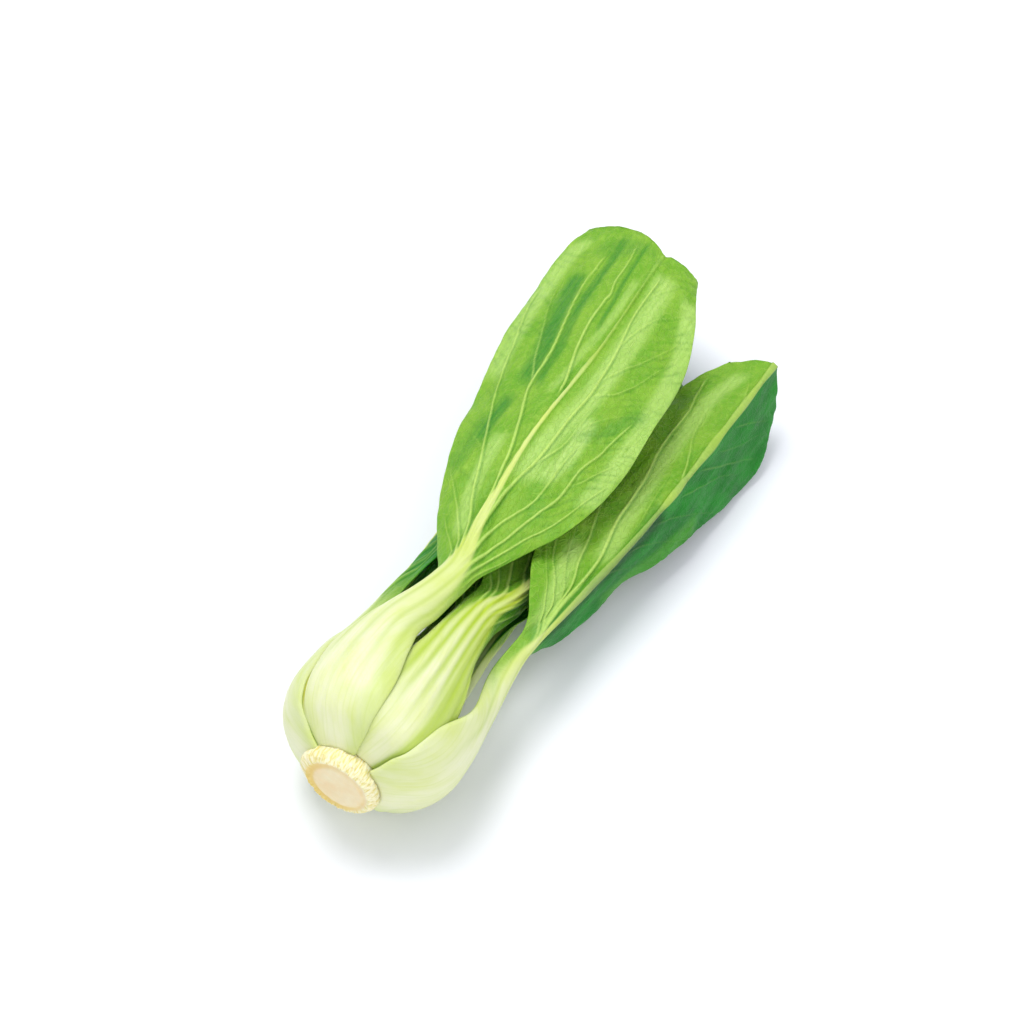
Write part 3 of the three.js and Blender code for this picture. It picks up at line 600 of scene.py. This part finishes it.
def leaf_rows(leaf):
    """Plain back and inner face, and where each of their points is: w mm from the midrib, s mm from the foot.
    `free` goes from 0 in the bulb to 1 past it, `opened` from 0 at the neck to 1 where the blade is wide, and
    `tucked` is 1 where the back dives under an older leaf."""
    u = columns_of(leaf.columns)
    on_bulb = lambda along: in_bulb(along, leaf.turn, stalk_depths(leaf, along, np.zeros_like(along))[2])
    starts = on_bulb(np.array([34.0, 50.0]))
    neck_y, tip_y = leaf.path[0, 1], leaf.path[-1, 1]
    in_stalk = LEFT * (np.arange(leaf.rows[0]) / leaf.rows[0]) ** 1.15
    start_y = on_bulb(np.array([float(LEFT)]))[0, 1]
    past_y = start_y + (tip_y - start_y) * np.arange(leaf.rows[1] + 1) / leaf.rows[1]
    y = np.r_[np.maximum(on_bulb(in_stalk)[:, 1], starts[0, 1]), past_y]
    along = np.r_[in_stalk, LEFT + past_y - start_y]
    share = (y - neck_y) / (tip_y - neck_y)
    inner, outer, half = blade(leaf, middle_line(leaf, starts, y), share, stalk_half_width(leaf, along), u)
    along, share, u = along[:, None], share[:, None], u[None, :]
    shell, free = np.minimum(along, LEFT), ease(along, LEAVING, LEFT)
    angle, _, back_depth, inner_depth = stalk_depths(leaf, shell, u)
    outer = blend(in_bulb(shell, angle, back_depth), outer, free[..., None])
    inner = blend(in_bulb(shell, angle, inner_depth), inner, free[..., None])
    own = leaf.deep * ease(shell, 0, WIDEST * 1.2) + leaf.heel * (1 - ease(shell, 2, 26))
    tucked = ease(filled_to(shell, angle) - own, 0.1, 1.4) * (1 - free)
    return SimpleNamespace(outer=outer, inner=inner, half=half, share=share, along=along, u=u, free=free,
                           tucked=tucked, length=tip_y - neck_y, w=u * half, s=along + 0 * u,
                           side=np.where(u < 0, 0, 1), opened=ease(share, 0.02, 0.2))


print("columns at the midrib:", np.round(columns_of(180)[89:93], 3))

# %% [markdown]
# ## Marks on a leaf
# Every mark is worked out once, as a number from 0 to 1 at each point. Most of them serve twice,
# as a height in the mesh and as a mask for the colour, so a vein's colour lies on its ridge.
# Creases are the fine folds of the tissue between the veins. They sweep outwards and forwards:
# each lies where a sine wave crosses zero, bent by uneven ground and let go here and there.

# %% Marks of a leaf
GROOVE_WIDTH, CREASE_EVERY = 0.08, 4.4


def marks(leaf, look, at):
    """Veins, their trenches, the rib, the stalk's grooves, the sunken darker bands and painted shade, the bands of
    painted sheen and creases, (1 - |sin|)^2.
    """
    facts = (at.share, at.u, at.half, at.length)
    veins = look.veins or fan(leaf.seed)
    vein, trench = near_veins(veins + twigs(veins, leaf.seed), *facts)
    past_neck = ease(at.share, -0.12, 0.08)
    pale = through(look.rib, at.share)
    rib = np.exp(-(at.w / pale) ** 2) * ease(at.share, -0.1, 0.15) * (1 - ease(at.share, 0.88, 0.98))
    groove = sum(np.exp(-((at.u - g - 0.02 * np.sin(at.along / 23 + g * 7)) / GROOVE_WIDTH) ** 2)
                 for g in look.grooves)
    groove = np.clip(groove, 0, 1) * ease(at.along, 16, 48) * (1 - ease(at.share, 0.05, 0.3))
    swept = (at.s - 0.8 * np.abs(at.w)) * np.pi / CREASE_EVERY + 1.3 * cloud(at.w, at.s, 22, leaf.seed + 3)
    crease = (1 - np.abs(np.sin(swept))) ** 2 * ease(cloud(at.w * 0.4, at.s, 11, leaf.seed + 6), -0.7, 0.9)
    return SimpleNamespace(
        vein=vein * past_neck, trench=trench * past_neck, pale=pale, rib=rib, groove=groove,
        valley=near_bands(look.valleys, *facts), patch=near_bands(look.patches, *facts),
        crease=crease * ease(np.abs(at.u), 0.2, 0.7) * at.opened)


print("a groove is", GROOVE_WIDTH, "of the half width, and creases come every", CREASE_EVERY, "mm")

# %% [markdown]
# ## Relief and masks
# The marks are added square to the leaf, in millimetres. Puckers and the frill of the margin bend
# the whole sheet, so they move both faces alike, while veins stand up on the back and lie in
# shallow grooves on the face. The margin is rounded: its last millimetres thin out like a quarter
# of a circle.

# %% Relief of a leaf
ROUNDED, THINNEST = 1.6, 0.3


def relief(leaf, look, at, mark):
    """Back and inner face, moved along the normal by the sum of the forms. Nothing goes below the table."""
    middle = (at.outer + at.inner) / 2
    normal = np.cross(np.gradient(middle, axis=1), np.gradient(middle, axis=0))
    normal /= np.linalg.norm(normal, axis=-1, keepdims=True)
    pucker = 0.3 * cloud(at.w, at.s * 0.4, 11, leaf.seed + 1) + 0.12 * cloud(at.w, at.s * 0.55, 5, leaf.seed + 2)
    pucker = pucker * at.opened * (1 - 0.7 * np.maximum(mark.vein, mark.rib))
    frill = np.take(look.frill, at.side) * cloud(at.s, 0 * at.w + np.sign(at.u) * 9, 24, leaf.seed + 4, 6)
    frill = frill * ease(np.abs(at.u), 0.5, 1) ** 1.5 * at.opened
    sheet = pucker - np.take(look.wrinkle, at.side) * mark.crease + frill - 0.5 * mark.valley
    on_back = (0.6 * mark.vein - 0.25 * mark.trench + look.rib_height * mark.rib - look.groove_depth * mark.groove
               - 0.05 * (1 + cloud(at.w * 3, at.s * 0.3, 8, leaf.seed + 5)) * ease(at.along, 5, 20))
    on_face = 0.15 * mark.vein * at.opened + 0.2 * mark.rib
    cut = look.notch[1] * np.exp(-((at.u - look.notch[0]) / 0.1) ** 2) * ease(at.share, 0.93, 1)
    cut = cut[..., None] * np.array([0, -1, 0])

    edge = np.clip((np.abs(at.w) - at.half + ROUNDED) / ROUNDED, 0, 1)
    gap = np.linalg.norm(at.outer - at.inner, axis=-1)
    pull = (1 - np.sqrt(np.clip(1 - edge**2, 0, 1))) * np.maximum(gap - THINNEST, 0)
    outer = at.outer + cut + normal * (sheet + on_back - pull * blend(0.85, 0.5, at.free))[..., None]
    inner = at.inner + cut + normal * (sheet + on_face + pull * blend(0.0, 0.5, at.free))[..., None]
    lift = np.maximum(0, -np.minimum(outer[..., 2], inner[..., 2]))
    outer[..., 2] += lift
    inner[..., 2] += lift
    return outer, inner


# %% Masks for the finish
def masks_of(look, at, mark):
    """Attributes of the mesh, three masks in each. `lay` is the place on the leaf, in tenths of a metre."""
    across, away = np.abs(at.u), np.abs(at.w)
    stalk = 1 - ease(away, mark.pale * 0.8, mark.pale * 1.6 + 0.2) * ease(at.share, -0.2, 0.08)
    stalk = stalk * (1 - look.fade[2] * ease(at.share, *look.fade[:2]))
    # Painted shade: a half, or a stalk's side, that turns away from the lamp is coloured the deep green of the inner
    # face.
    dark = np.take(look.dark, at.side) * ease(away, mark.pale * 0.5 * look.sharp, mark.pale * 1.1 * look.sharp)
    dark = dark * ease(at.share, -0.05, 0.1)
    painted_shade_wing = np.take(look.painted_shade_wing, at.side) * ease(across, 0.45, 0.8) * ease(at.along, 44, 60)
    stalk, dark = stalk * (1 - painted_shade_wing), np.maximum(dark, painted_shade_wing * ease(across, 0.6, 0.95))
    flush = np.take(look.flush, at.side)
    margin = np.clip(ease(across, 0.3 - 0.15 * (flush > 1), 1.1 - 0.3 * flush) * flush, 0, 1)
    groove = np.clip(mark.groove * look.groove_tint * (1 + 0.7 * ease(at.share, -0.35, 0)), 0, 1)
    # The tone masks carry painted shade and painted sheen.
    masks = {"skin": (stalk, mark.vein, groove), "rim": (margin, ease(at.along, 38, 100), at.tucked),
             "tone": (mark.valley, mark.patch, dark), "fine": (mark.trench, mark.crease, 0),
             "lay": (at.w / 100, at.s / 100, at.share)}
    return {name: np.stack(np.broadcast_arrays(*parts), -1) for name, parts in masks.items()}


# %% Mesh of a leaf
def write(mesh, name, values):
    """Three numbers at each point, kept in the mesh for a finish to read."""
    attribute = mesh.attributes.new(name, "FLOAT_VECTOR", "POINT")
    attribute.data.foreach_set("vector", values.astype(np.float32).ravel())


def leaf_mesh(leaf):
    """Loops over the back and then the inner face, joined row by row, with the foot and the tip closed."""
    look, at = LOOKS.get(leaf.name, Look()), leaf_rows(leaf)
    mark = marks(leaf, look, at)
    outer, inner = relief(leaf, look, at, mark)
    rows, columns = outer.shape[:2]
    loop = 2 * columns
    points = np.concatenate([outer, inner[:, ::-1]], axis=1).reshape(-1, 3)
    r, j = np.meshgrid(np.arange(rows - 1), np.arange(loop), indexing="ij")
    after = (j + 1) % loop
    sides = np.stack([r * loop + j, r * loop + after, (r + 1) * loop + after, (r + 1) * loop + j], -1)
    k = np.arange(columns - 1)
    facing = loop - 1 - k
    foot = np.stack([k + 1, k, facing, facing - 1], -1)
    tip = np.stack([k, k + 1, facing - 1, facing], -1) + (rows - 1) * loop
    faces = np.concatenate([sides.reshape(-1, 4), foot, tip])

    mesh = bpy.data.meshes.new(leaf.name + "_fine")
    mesh.vertices.add(len(points))
    mesh.vertices.foreach_set("co", ((points + MIDDLE) / 1000).ravel())
    mesh.loops.add(faces.size)
    mesh.loops.foreach_set("vertex_index", faces.ravel().astype(np.int32))
    mesh.polygons.add(len(faces))
    mesh.polygons.foreach_set("loop_start", np.arange(0, faces.size, 4, dtype=np.int32))
    mesh.update(calc_edges=True)
    mesh.polygons.foreach_set("use_smooth", np.ones(len(faces), bool))
    for name, mask in masks_of(look, at, mark).items():
        write(mesh, name, np.concatenate([mask, mask[:, ::-1]], axis=1))
    on_inner_face = np.zeros((rows, loop, 3))
    on_inner_face[:, columns:, 0] = 1
    write(mesh, "side", on_inner_face)
    return mesh


# %% [markdown]
# ## Finishes
# A material is a small net of nodes. Writing each node out makes long code, so a socket is
# wrapped in a class with Python's own operators: `1 - mask` adds its Math node by itself. Every
# other node comes from one method, which sets the node's choices first and then its sockets.

# %% Nodes written as sums
class Tone:
    """A socket of a finish. Sums and products of tones add their Math nodes."""

    def __init__(self, finish, socket):
        self.finish, self.socket = finish, socket

    def maths(self, operation, first, second):
        return self.finish.node("ShaderNodeMath", {"operation": operation}, {0: first, 1: second})

    def __add__(self, other): return self.maths("ADD", self, other)
    def __radd__(self, other): return self.maths("ADD", other, self)
    def __sub__(self, other): return self.maths("SUBTRACT", self, other)
    def __rsub__(self, other): return self.maths("SUBTRACT", other, self)
    def __mul__(self, other): return self.maths("MULTIPLY", self, other)
    def __rmul__(self, other): return self.maths("MULTIPLY", other, self)


class Finish:
    """A material with its Principled shader, and one method that makes any node."""

    def __init__(self, name):
        self.material = bpy.data.materials.new(name)
        self.material.use_nodes = True
        self.nodes, self.links = self.material.node_tree.nodes, self.material.node_tree.links
        self.shader = next(n for n in self.nodes if n.type == "BSDF_PRINCIPLED")

    def put(self, socket, value):
        """A link where the value is a tone, else a constant, with alpha 1 added to a colour."""
        if isinstance(value, Tone):
            self.links.new(value.socket, socket)
        else:
            socket.default_value = (*value, 1) if isinstance(value, tuple) and socket.type == "RGBA" else value

    def node(self, kind, choices, values, out=0):
        """A node of this kind: its choices, then the values or tones of its sockets. Gives one output."""
        made = self.nodes.new(kind)
        for name, choice in choices.items():
            setattr(made, name, choice)
        for name, value in values.items():
            self.put(made.inputs[name], value)
        return Tone(self, made.outputs[out])

    def step(self, x, start, end):
        """0 below start and 1 above end, eased."""
        return self.node("ShaderNodeMapRange", {"interpolation_type": "SMOOTHSTEP"},
                         {"Value": x, "From Min": start, "From Max": end})

    def mix(self, share, first, second):
        """Colour between first at 0 and second at 1."""
        return self.node("ShaderNodeMix", {"data_type": "RGBA"}, {0: share, 6: first, 7: second}, out=2)

    def larger(self, first, second):
        return self.node("ShaderNodeMath", {"operation": "MAXIMUM"}, {0: first, 1: second})

    def attribute(self, name):
        return self.node("ShaderNodeAttribute", {"attribute_name": name}, {}, out="Vector")

    def parts(self, vector):
        split = self.nodes.new("ShaderNodeSeparateXYZ")
        self.links.new(vector.socket, split.inputs[0])
        return [Tone(self, socket) for socket in split.outputs]

    def stretched(self, vector, scale):
        return self.node("ShaderNodeVectorMath", {"operation": "MULTIPLY"}, {0: vector, 1: scale})

    def noise(self, vector, scale, detail=3.0):
        return self.node("ShaderNodeTexNoise", {}, {"Vector": vector, "Scale": scale, "Detail": detail})

    def set(self, **values):
        """Sockets of the shader, by name."""
        for name, value in values.items():
            self.put(self.shader.inputs[name.replace("_", " ")], value)


def paint(red, green, blue):
    """A colour as a painter names it, 0 to 255, turned into the light that it reflects: ((c / 255 + 0.055) /
    1.055)^2.4, and a straight line near black."""
    return tuple(((c / 255 + 0.055) / 1.055) ** 2.4 if c > 10 else c / 3294.6 for c in (red, green, blue))


print("white in light:", paint(255, 255, 255))

# %% [markdown]
# ## Leaf finish
# A stalk is almost white, waxy and a little see-through, with green in its grooves and along its
# edges. The back of a blade is a light yellow-green with pale veins, the inner face a deep green.
# The colours are chosen by masks that were worked out with the shape, and fine mottling and a net
# of the smallest veins are added on top. Their patterns read the place on the leaf, not the place
# in the room, so they run along the leaf where it bends. Some masks paint light and shade into the
# colour: shadow beside the veins, in the creases and under older edges, halves turned from the lamp
# in deep green, and pale bands of sheen.

# %% Leaf finish
def leaf_finish():
    """`back` and `face` are the two sides of a blade, `lamina` both with their veins, `white` the stalk."""
    f = Finish("leaf_skin")
    stalk, vein, groove = f.parts(f.attribute("skin"))
    margin, up, tucked = f.parts(f.attribute("rim"))
    # The tone masks: sunken darker bands, partly painted shadow; pale bands of painted sheen; halves in painted
    # shade.
    valley, patch, dark = f.parts(f.attribute("tone"))
    trench, crease, _ = f.parts(f.attribute("fine"))
    inside = f.parts(f.attribute("side"))[0]
    lay = f.attribute("lay")
    # how often in a tenth of a metre, across and along the leaf: a streak is about 1 by 33 mm
    streaks = f.noise(f.stretched(lay, (90.0, 3.0, 0.0)), 1.0, 4.0)
    blotch = f.noise(f.stretched(lay, (12.0, 5.0, 0.0)), 1.0, 3.0)
    mottle = f.noise(f.stretched(lay, (60.0, 40.0, 0.0)), 1.0, 5.0)
    net = f.node("ShaderNodeTexVoronoi", {"feature": "DISTANCE_TO_EDGE"},
                 {"Vector": f.stretched(lay, (62.0, 38.0, 0.0)), "Scale": 1.0})
    net = 1 - f.step(net, 0.0, 0.1)

    back = f.mix(f.step(blotch, 0.3, 0.7), paint(98, 156, 20), paint(122, 168, 38))
    back = f.mix(f.step(mottle, 0.4, 0.75) * 0.35, back, paint(148, 186, 66))
    back = f.mix(net * 0.22, back, paint(160, 198, 80))
    # Painted sheen: pale bands on the back of the blade.
    back = f.mix(patch * (streaks + mottle * 0.5 + 0.1), back, paint(172, 206, 108))
    # Darker green bands of the back: the top leaf's own, and the painted shadow of the top leaf's margin on the
    # right leaf.
    back = f.mix(valley * (streaks * 1.2 + 0.2), back, paint(20, 118, 26))
    face = f.mix(f.step(blotch, 0.3, 0.7), paint(0, 106, 14), paint(18, 132, 20))
    face = f.mix(net * 0.12, face, paint(60, 152, 50))
    # The same bands on the inner face: here the painted shade deep in the right leaf's fold.
    face = f.mix(valley * 0.85, face, paint(6, 56, 14))
    # Painted light: lighter bands on the inner face and on the halves in painted shade.
    face = f.mix(patch * 0.7, face, paint(76, 150, 36))
    # The inner face has its own deep green, and the halves in painted shade take the same colour.
    shaded = f.larger(inside, dark)
    lamina = f.mix(shaded, back, face)
    # Painted shade: a darker green in the trench beside each vein, as its shadow, and in the creases between the
    # veins.
    lamina = f.mix((trench * 0.55 + crease * 0.3) * (1 - shaded * 0.3), lamina, paint(28, 110, 18))
    lamina = f.mix(f.step(vein, 0.12, 0.75) * (0.8 - shaded * 0.65), lamina, paint(180, 210, 104))
    white = f.mix(f.step(blotch, 0.35, 0.75), paint(222, 224, 184), paint(211, 218, 148))
    white = f.mix(f.step(streaks, 0.45, 0.8) * 0.4, white, paint(194, 208, 104))
    white = f.mix(groove, white, paint(158, 186, 30))
    white = f.mix(margin * 0.75, white, paint(166, 192, 40))
    # Painted shade: the crease where a stalk dives under an older edge is coloured a darker, yellower olive.
    white = f.mix(tucked * 0.85, white, paint(180, 182, 40))
    white = f.mix(up * 0.6, white, paint(184, 204, 60))
    # Painted shade: the inner faces of the stalks show only in the gaps, and are coloured the darker green of those
    # shaded gaps, where light comes through the leaves.
    white = f.mix(inside * 0.6, white, paint(132, 172, 56))
    colour = f.mix(f.step(stalk + streaks * 0.3 - 0.15, 0.0, 1.0), lamina, white)
    height = net * (0.6 * (1 - stalk)) + streaks * 0.4 + mottle * 0.4
    bump = f.node("ShaderNodeBump", {}, {"Strength": 0.6, "Distance": 0.0004, "Height": height})
    f.set(Base_Color=colour, Roughness=0.32 + mottle * 0.16 + (1 - stalk) * 0.1, Normal=bump,
          Subsurface_Weight=0.22, Subsurface_Radius=(1.0, 1.0, 0.4), Subsurface_Scale=0.003,
          Specular_IOR_Level=0.3)
    return f.material


leaf_skin = leaf_finish()
print(len(leaf_skin.node_tree.nodes), "nodes in the leaf's finish")

# %% Make the leaves
# Oldest first. A leaf is made before it fills the grid itself, so only older ones take up room.
for leaf in LEAVES:
    piece = bpy.data.objects.new(leaf.name + "_fine", leaf_mesh(leaf))
    pack(leaf)
    piece.data.materials.append(leaf_skin)
    bpy.context.scene.collection.objects.link(piece)
    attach(piece, "root")
    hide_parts(leaf.name)
    print(piece.name, len(piece.data.polygons) * 2, "triangles")

# %% [markdown]
# ## The cut stem
# The knife leaves a flat, moist disc of pith with a ring of tougher, darker tissue round it.
# Outside the ring the torn feet of older leaves stay as a ragged pale rim. A profile turned
# about the axis gives the form, and uneven ground pushed into the rim tears it.

# %% Stem
def turned(profile, turns):
    """Points [distance from the axis, distance from the cut] carried round the axis of the bulb."""
    angle = np.arange(turns) * 2 * np.pi / turns
    r, y = profile[:, None, 0], profile[:, None, 1]
    return np.stack(np.broadcast_arrays(r * np.cos(angle), y, r * np.sin(angle)), -1), angle


def stem_profile():
    """[distance from the axis, distance from the cut] from the middle of the cut to the top, close together
    at the rim."""
    side = lambda height: STEM_RADIUS - CLEARANCE - STEM_TAPER * height
    corners = np.array([[0, -STUB], [PITH_RADIUS, -STUB], [side(0) - 0.6, -STUB + 0.9], [side(0), 0.6], [side(8), 8],
                        [side(16), 16], [side(STEM_HEIGHT - 2), STEM_HEIGHT - 2],
                        [side(STEM_HEIGHT) - 3, STEM_HEIGHT], [0, STEM_HEIGHT]])
    lengths = np.r_[0, np.cumsum(np.hypot(*np.diff(corners, axis=0).T))]
    at = np.r_[np.linspace(0, lengths[1], 30)[1:], np.linspace(lengths[1], lengths[4], 50)[1:],
               np.linspace(lengths[4], lengths[-1], 20)[1:-1]]
    return np.stack([np.interp(at, lengths, corners[:, 0]), np.interp(at, lengths, corners[:, 1])], -1)


print(len(stem_profile()), "rings")

# %% Mesh of the stem
def stem_mesh():
    """The turned profile with its rim pushed out by torn ground, and most of all at the left."""
    profile = stem_profile()
    points, angle = turned(profile, 240)
    r, y = profile[:, None, 0], profile[:, None, 1]
    x, z = r * np.cos(angle), r * np.sin(angle)
    rim = ease(r, 9.6, 11.4) * (1 - ease(y, 6, 10))
    torn = 0.5 * cloud(angle * 12, y * 0.5 + r * 0.5, 2.6, 5) + 0.35 * cloud(angle * 12, y * 0.3, 1.1, 6)
    left = np.exp(-((angle - 2.9) / 0.5) ** 2)
    push = rim * (0.28 * torn - 0.1 + 1.5 * left) + 0.5 * ease(y, 0.4, 2) * (1 - ease(y, 5, 8))
    points[..., 0] += push * np.cos(angle) * ease(y, -1.3, 0)
    points[..., 2] += push * np.sin(angle) * ease(y, -1.3, 0)
    ring = ease(r, 8.2, 9.4) * (1 - ease(r, 10, 11))
    points[..., 1] += (0.25 * rim * torn + 0.08 * cloud(x, z, 3, 8) + 0.35 * ring) * (y < 0.5)
    rows, turns = points.shape[:2]
    foot, top = np.array([[0, -STUB + 0.1, 0]]), np.array([[0, STEM_HEIGHT, 0]])
    vertices = np.concatenate([points.reshape(-1, 3), foot, top]) + np.array([0, 0, AXIS_HEIGHT])
    i, j = np.meshgrid(np.arange(rows - 1), np.arange(turns), indexing="ij")
    after = (j + 1) % turns
    sides = np.stack([i * turns + j, i * turns + after, (i + 1) * turns + after, (i + 1) * turns + j], -1)
    j = np.arange(turns)
    after = (j + 1) % turns
    foot_fan = np.stack([np.full(turns, rows * turns), after, j], -1)
    top_fan = np.stack([np.full(turns, rows * turns + 1), (rows - 1) * turns + j, (rows - 1) * turns + after], -1)
    mesh = bpy.data.meshes.new("stem_fine")
    mesh.from_pydata(((vertices + MIDDLE) / 1000).tolist(), [],
                     sides.reshape(-1, 4).tolist() + foot_fan.tolist() + top_fan.tolist())
    mesh.update()
    mesh.polygons.foreach_set("use_smooth", np.ones(len(mesh.polygons), bool))
    flat = lambda values, at_foot, at_top: np.r_[np.broadcast_to(values, (rows, turns)).ravel(), at_foot, at_top]
    reach, height, round_axis = flat(r, 0, 0) / 10, flat(y, -STUB, STEM_HEIGHT) / 10, flat(angle, 0, 0)
    write(mesh, "place", np.stack([reach, height, 0 * reach], -1))
    write(mesh, "turn", np.stack([np.cos(round_axis), np.sin(round_axis), reach + height], -1))
    return mesh


# %% [markdown]
# ## Finish of the stem
# The pith is a pinkish cream, the ring round it ochre and strongest at the lower left, and the
# torn rim a lighter cream with yellowish fibres. The fibres run up the stem, so their pattern
# reads the way round it.

# %% Finish of the stem
def stem_finish():
    """Chosen by the distance from the axis and from the cut, both in centimetres."""
    f = Finish("cut_stem")
    reach, height, _ = f.parts(f.attribute("place"))
    spot = f.node("ShaderNodeTexCoord", {}, {}, out="Object")
    grain = f.noise(spot, 420.0, 4.0)
    patch = f.noise(spot, 140.0, 3.0)
    pith = f.mix(f.step(patch, 0.3, 0.7), paint(230, 216, 176), paint(228, 204, 156))
    turn = f.attribute("turn")
    towards_right, towards_top, _ = f.parts(turn)
    fibres = f.noise(f.stretched(turn, (20.0, 20.0, 4.0)), 1.0, 4.0)
    rim = f.mix(f.step(fibres, 0.4, 0.65), paint(240, 234, 196), paint(222, 208, 128))
    edge = reach + patch * 0.1 - 0.05
    ring = f.step(edge, 0.78, 0.94) * (1 - f.step(edge + towards_right * 0.1 + towards_top * 0.05, 1.0, 1.1))
    ring = ring * (0.25 + f.step(towards_right + towards_top * 0.6 + patch, 1.6, -0.6) * 0.5)
    colour = f.mix(f.step(edge, 0.98, 1.08), pith, rim)
    colour = f.mix(ring, colour, paint(222, 190, 84))
    colour = f.mix(f.step(height, 0.5, 1.2), colour, paint(222, 226, 176))
    bump = f.node("ShaderNodeBump", {}, {"Strength": 0.6, "Distance": 0.0006,
                                         "Height": grain * 0.4 + fibres * f.step(edge, 1.0, 1.1)})
    f.set(Base_Color=colour, Roughness=0.6, Normal=bump, Subsurface_Weight=0.2, Subsurface_Radius=(1.0, 0.7, 0.4),
          Subsurface_Scale=0.002)
    return f.material


stem = bpy.data.objects.new("stem_fine", stem_mesh())
stem.data.materials.append(stem_finish())
bpy.context.scene.collection.objects.link(stem)
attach(stem, "root")
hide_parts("stem")
print("stem", len(stem.data.polygons), "faces")

# %% [markdown]
# ## Table and light
# A white table and a white room give the even, bright light of a studio shot. One large soft
# lamp from the upper left models the forms, and a weaker one from the right opens the shadows.

# %% Table and light
table_mesh = bpy.data.meshes.new("table")
table_mesh.from_pydata([(-4, -4, 0), (4, -4, 0), (4, 4, 0), (-4, 4, 0)], [], [(0, 1, 2, 3)])
table = bpy.data.objects.new("table", table_mesh)
table_white = Finish("white_table")
table_white.set(Base_Color=(0.87, 0.875, 0.915), Roughness=0.75, Specular_IOR_Level=0.2)
table_mesh.materials.append(table_white.material)
bpy.context.scene.collection.objects.link(table)

room = bpy.data.worlds.new("white_room")
room.use_nodes = True
walls = room.node_tree.nodes["Background"].inputs
walls["Color"].default_value, walls["Strength"].default_value = (0.92, 0.95, 1, 1), 0.8
bpy.context.scene.world = room
bpy.context.scene.view_settings.view_transform = "Standard"


def lamp(name, place, size, power):
    """A square soft lamp at a place, turned to the middle of the head."""
    data = bpy.data.lights.new(name, "AREA")
    data.size, data.energy = size, power
    made = bpy.data.objects.new(name, data)
    way = np.array(place) - AIM
    made.location = place
    made.rotation_euler = (math.acos(way[2] / np.linalg.norm(way)), 0, math.atan2(way[0], -way[1]))
    bpy.context.scene.collection.objects.link(made)


lamp("left_lamp", (-0.3, 0.12, 1.18), 0.6, 9)
lamp("right_lamp", (0.7, -0.7, 0.85), 0.8, 4)
print("lamps:", [made.name for made in bpy.data.lights])
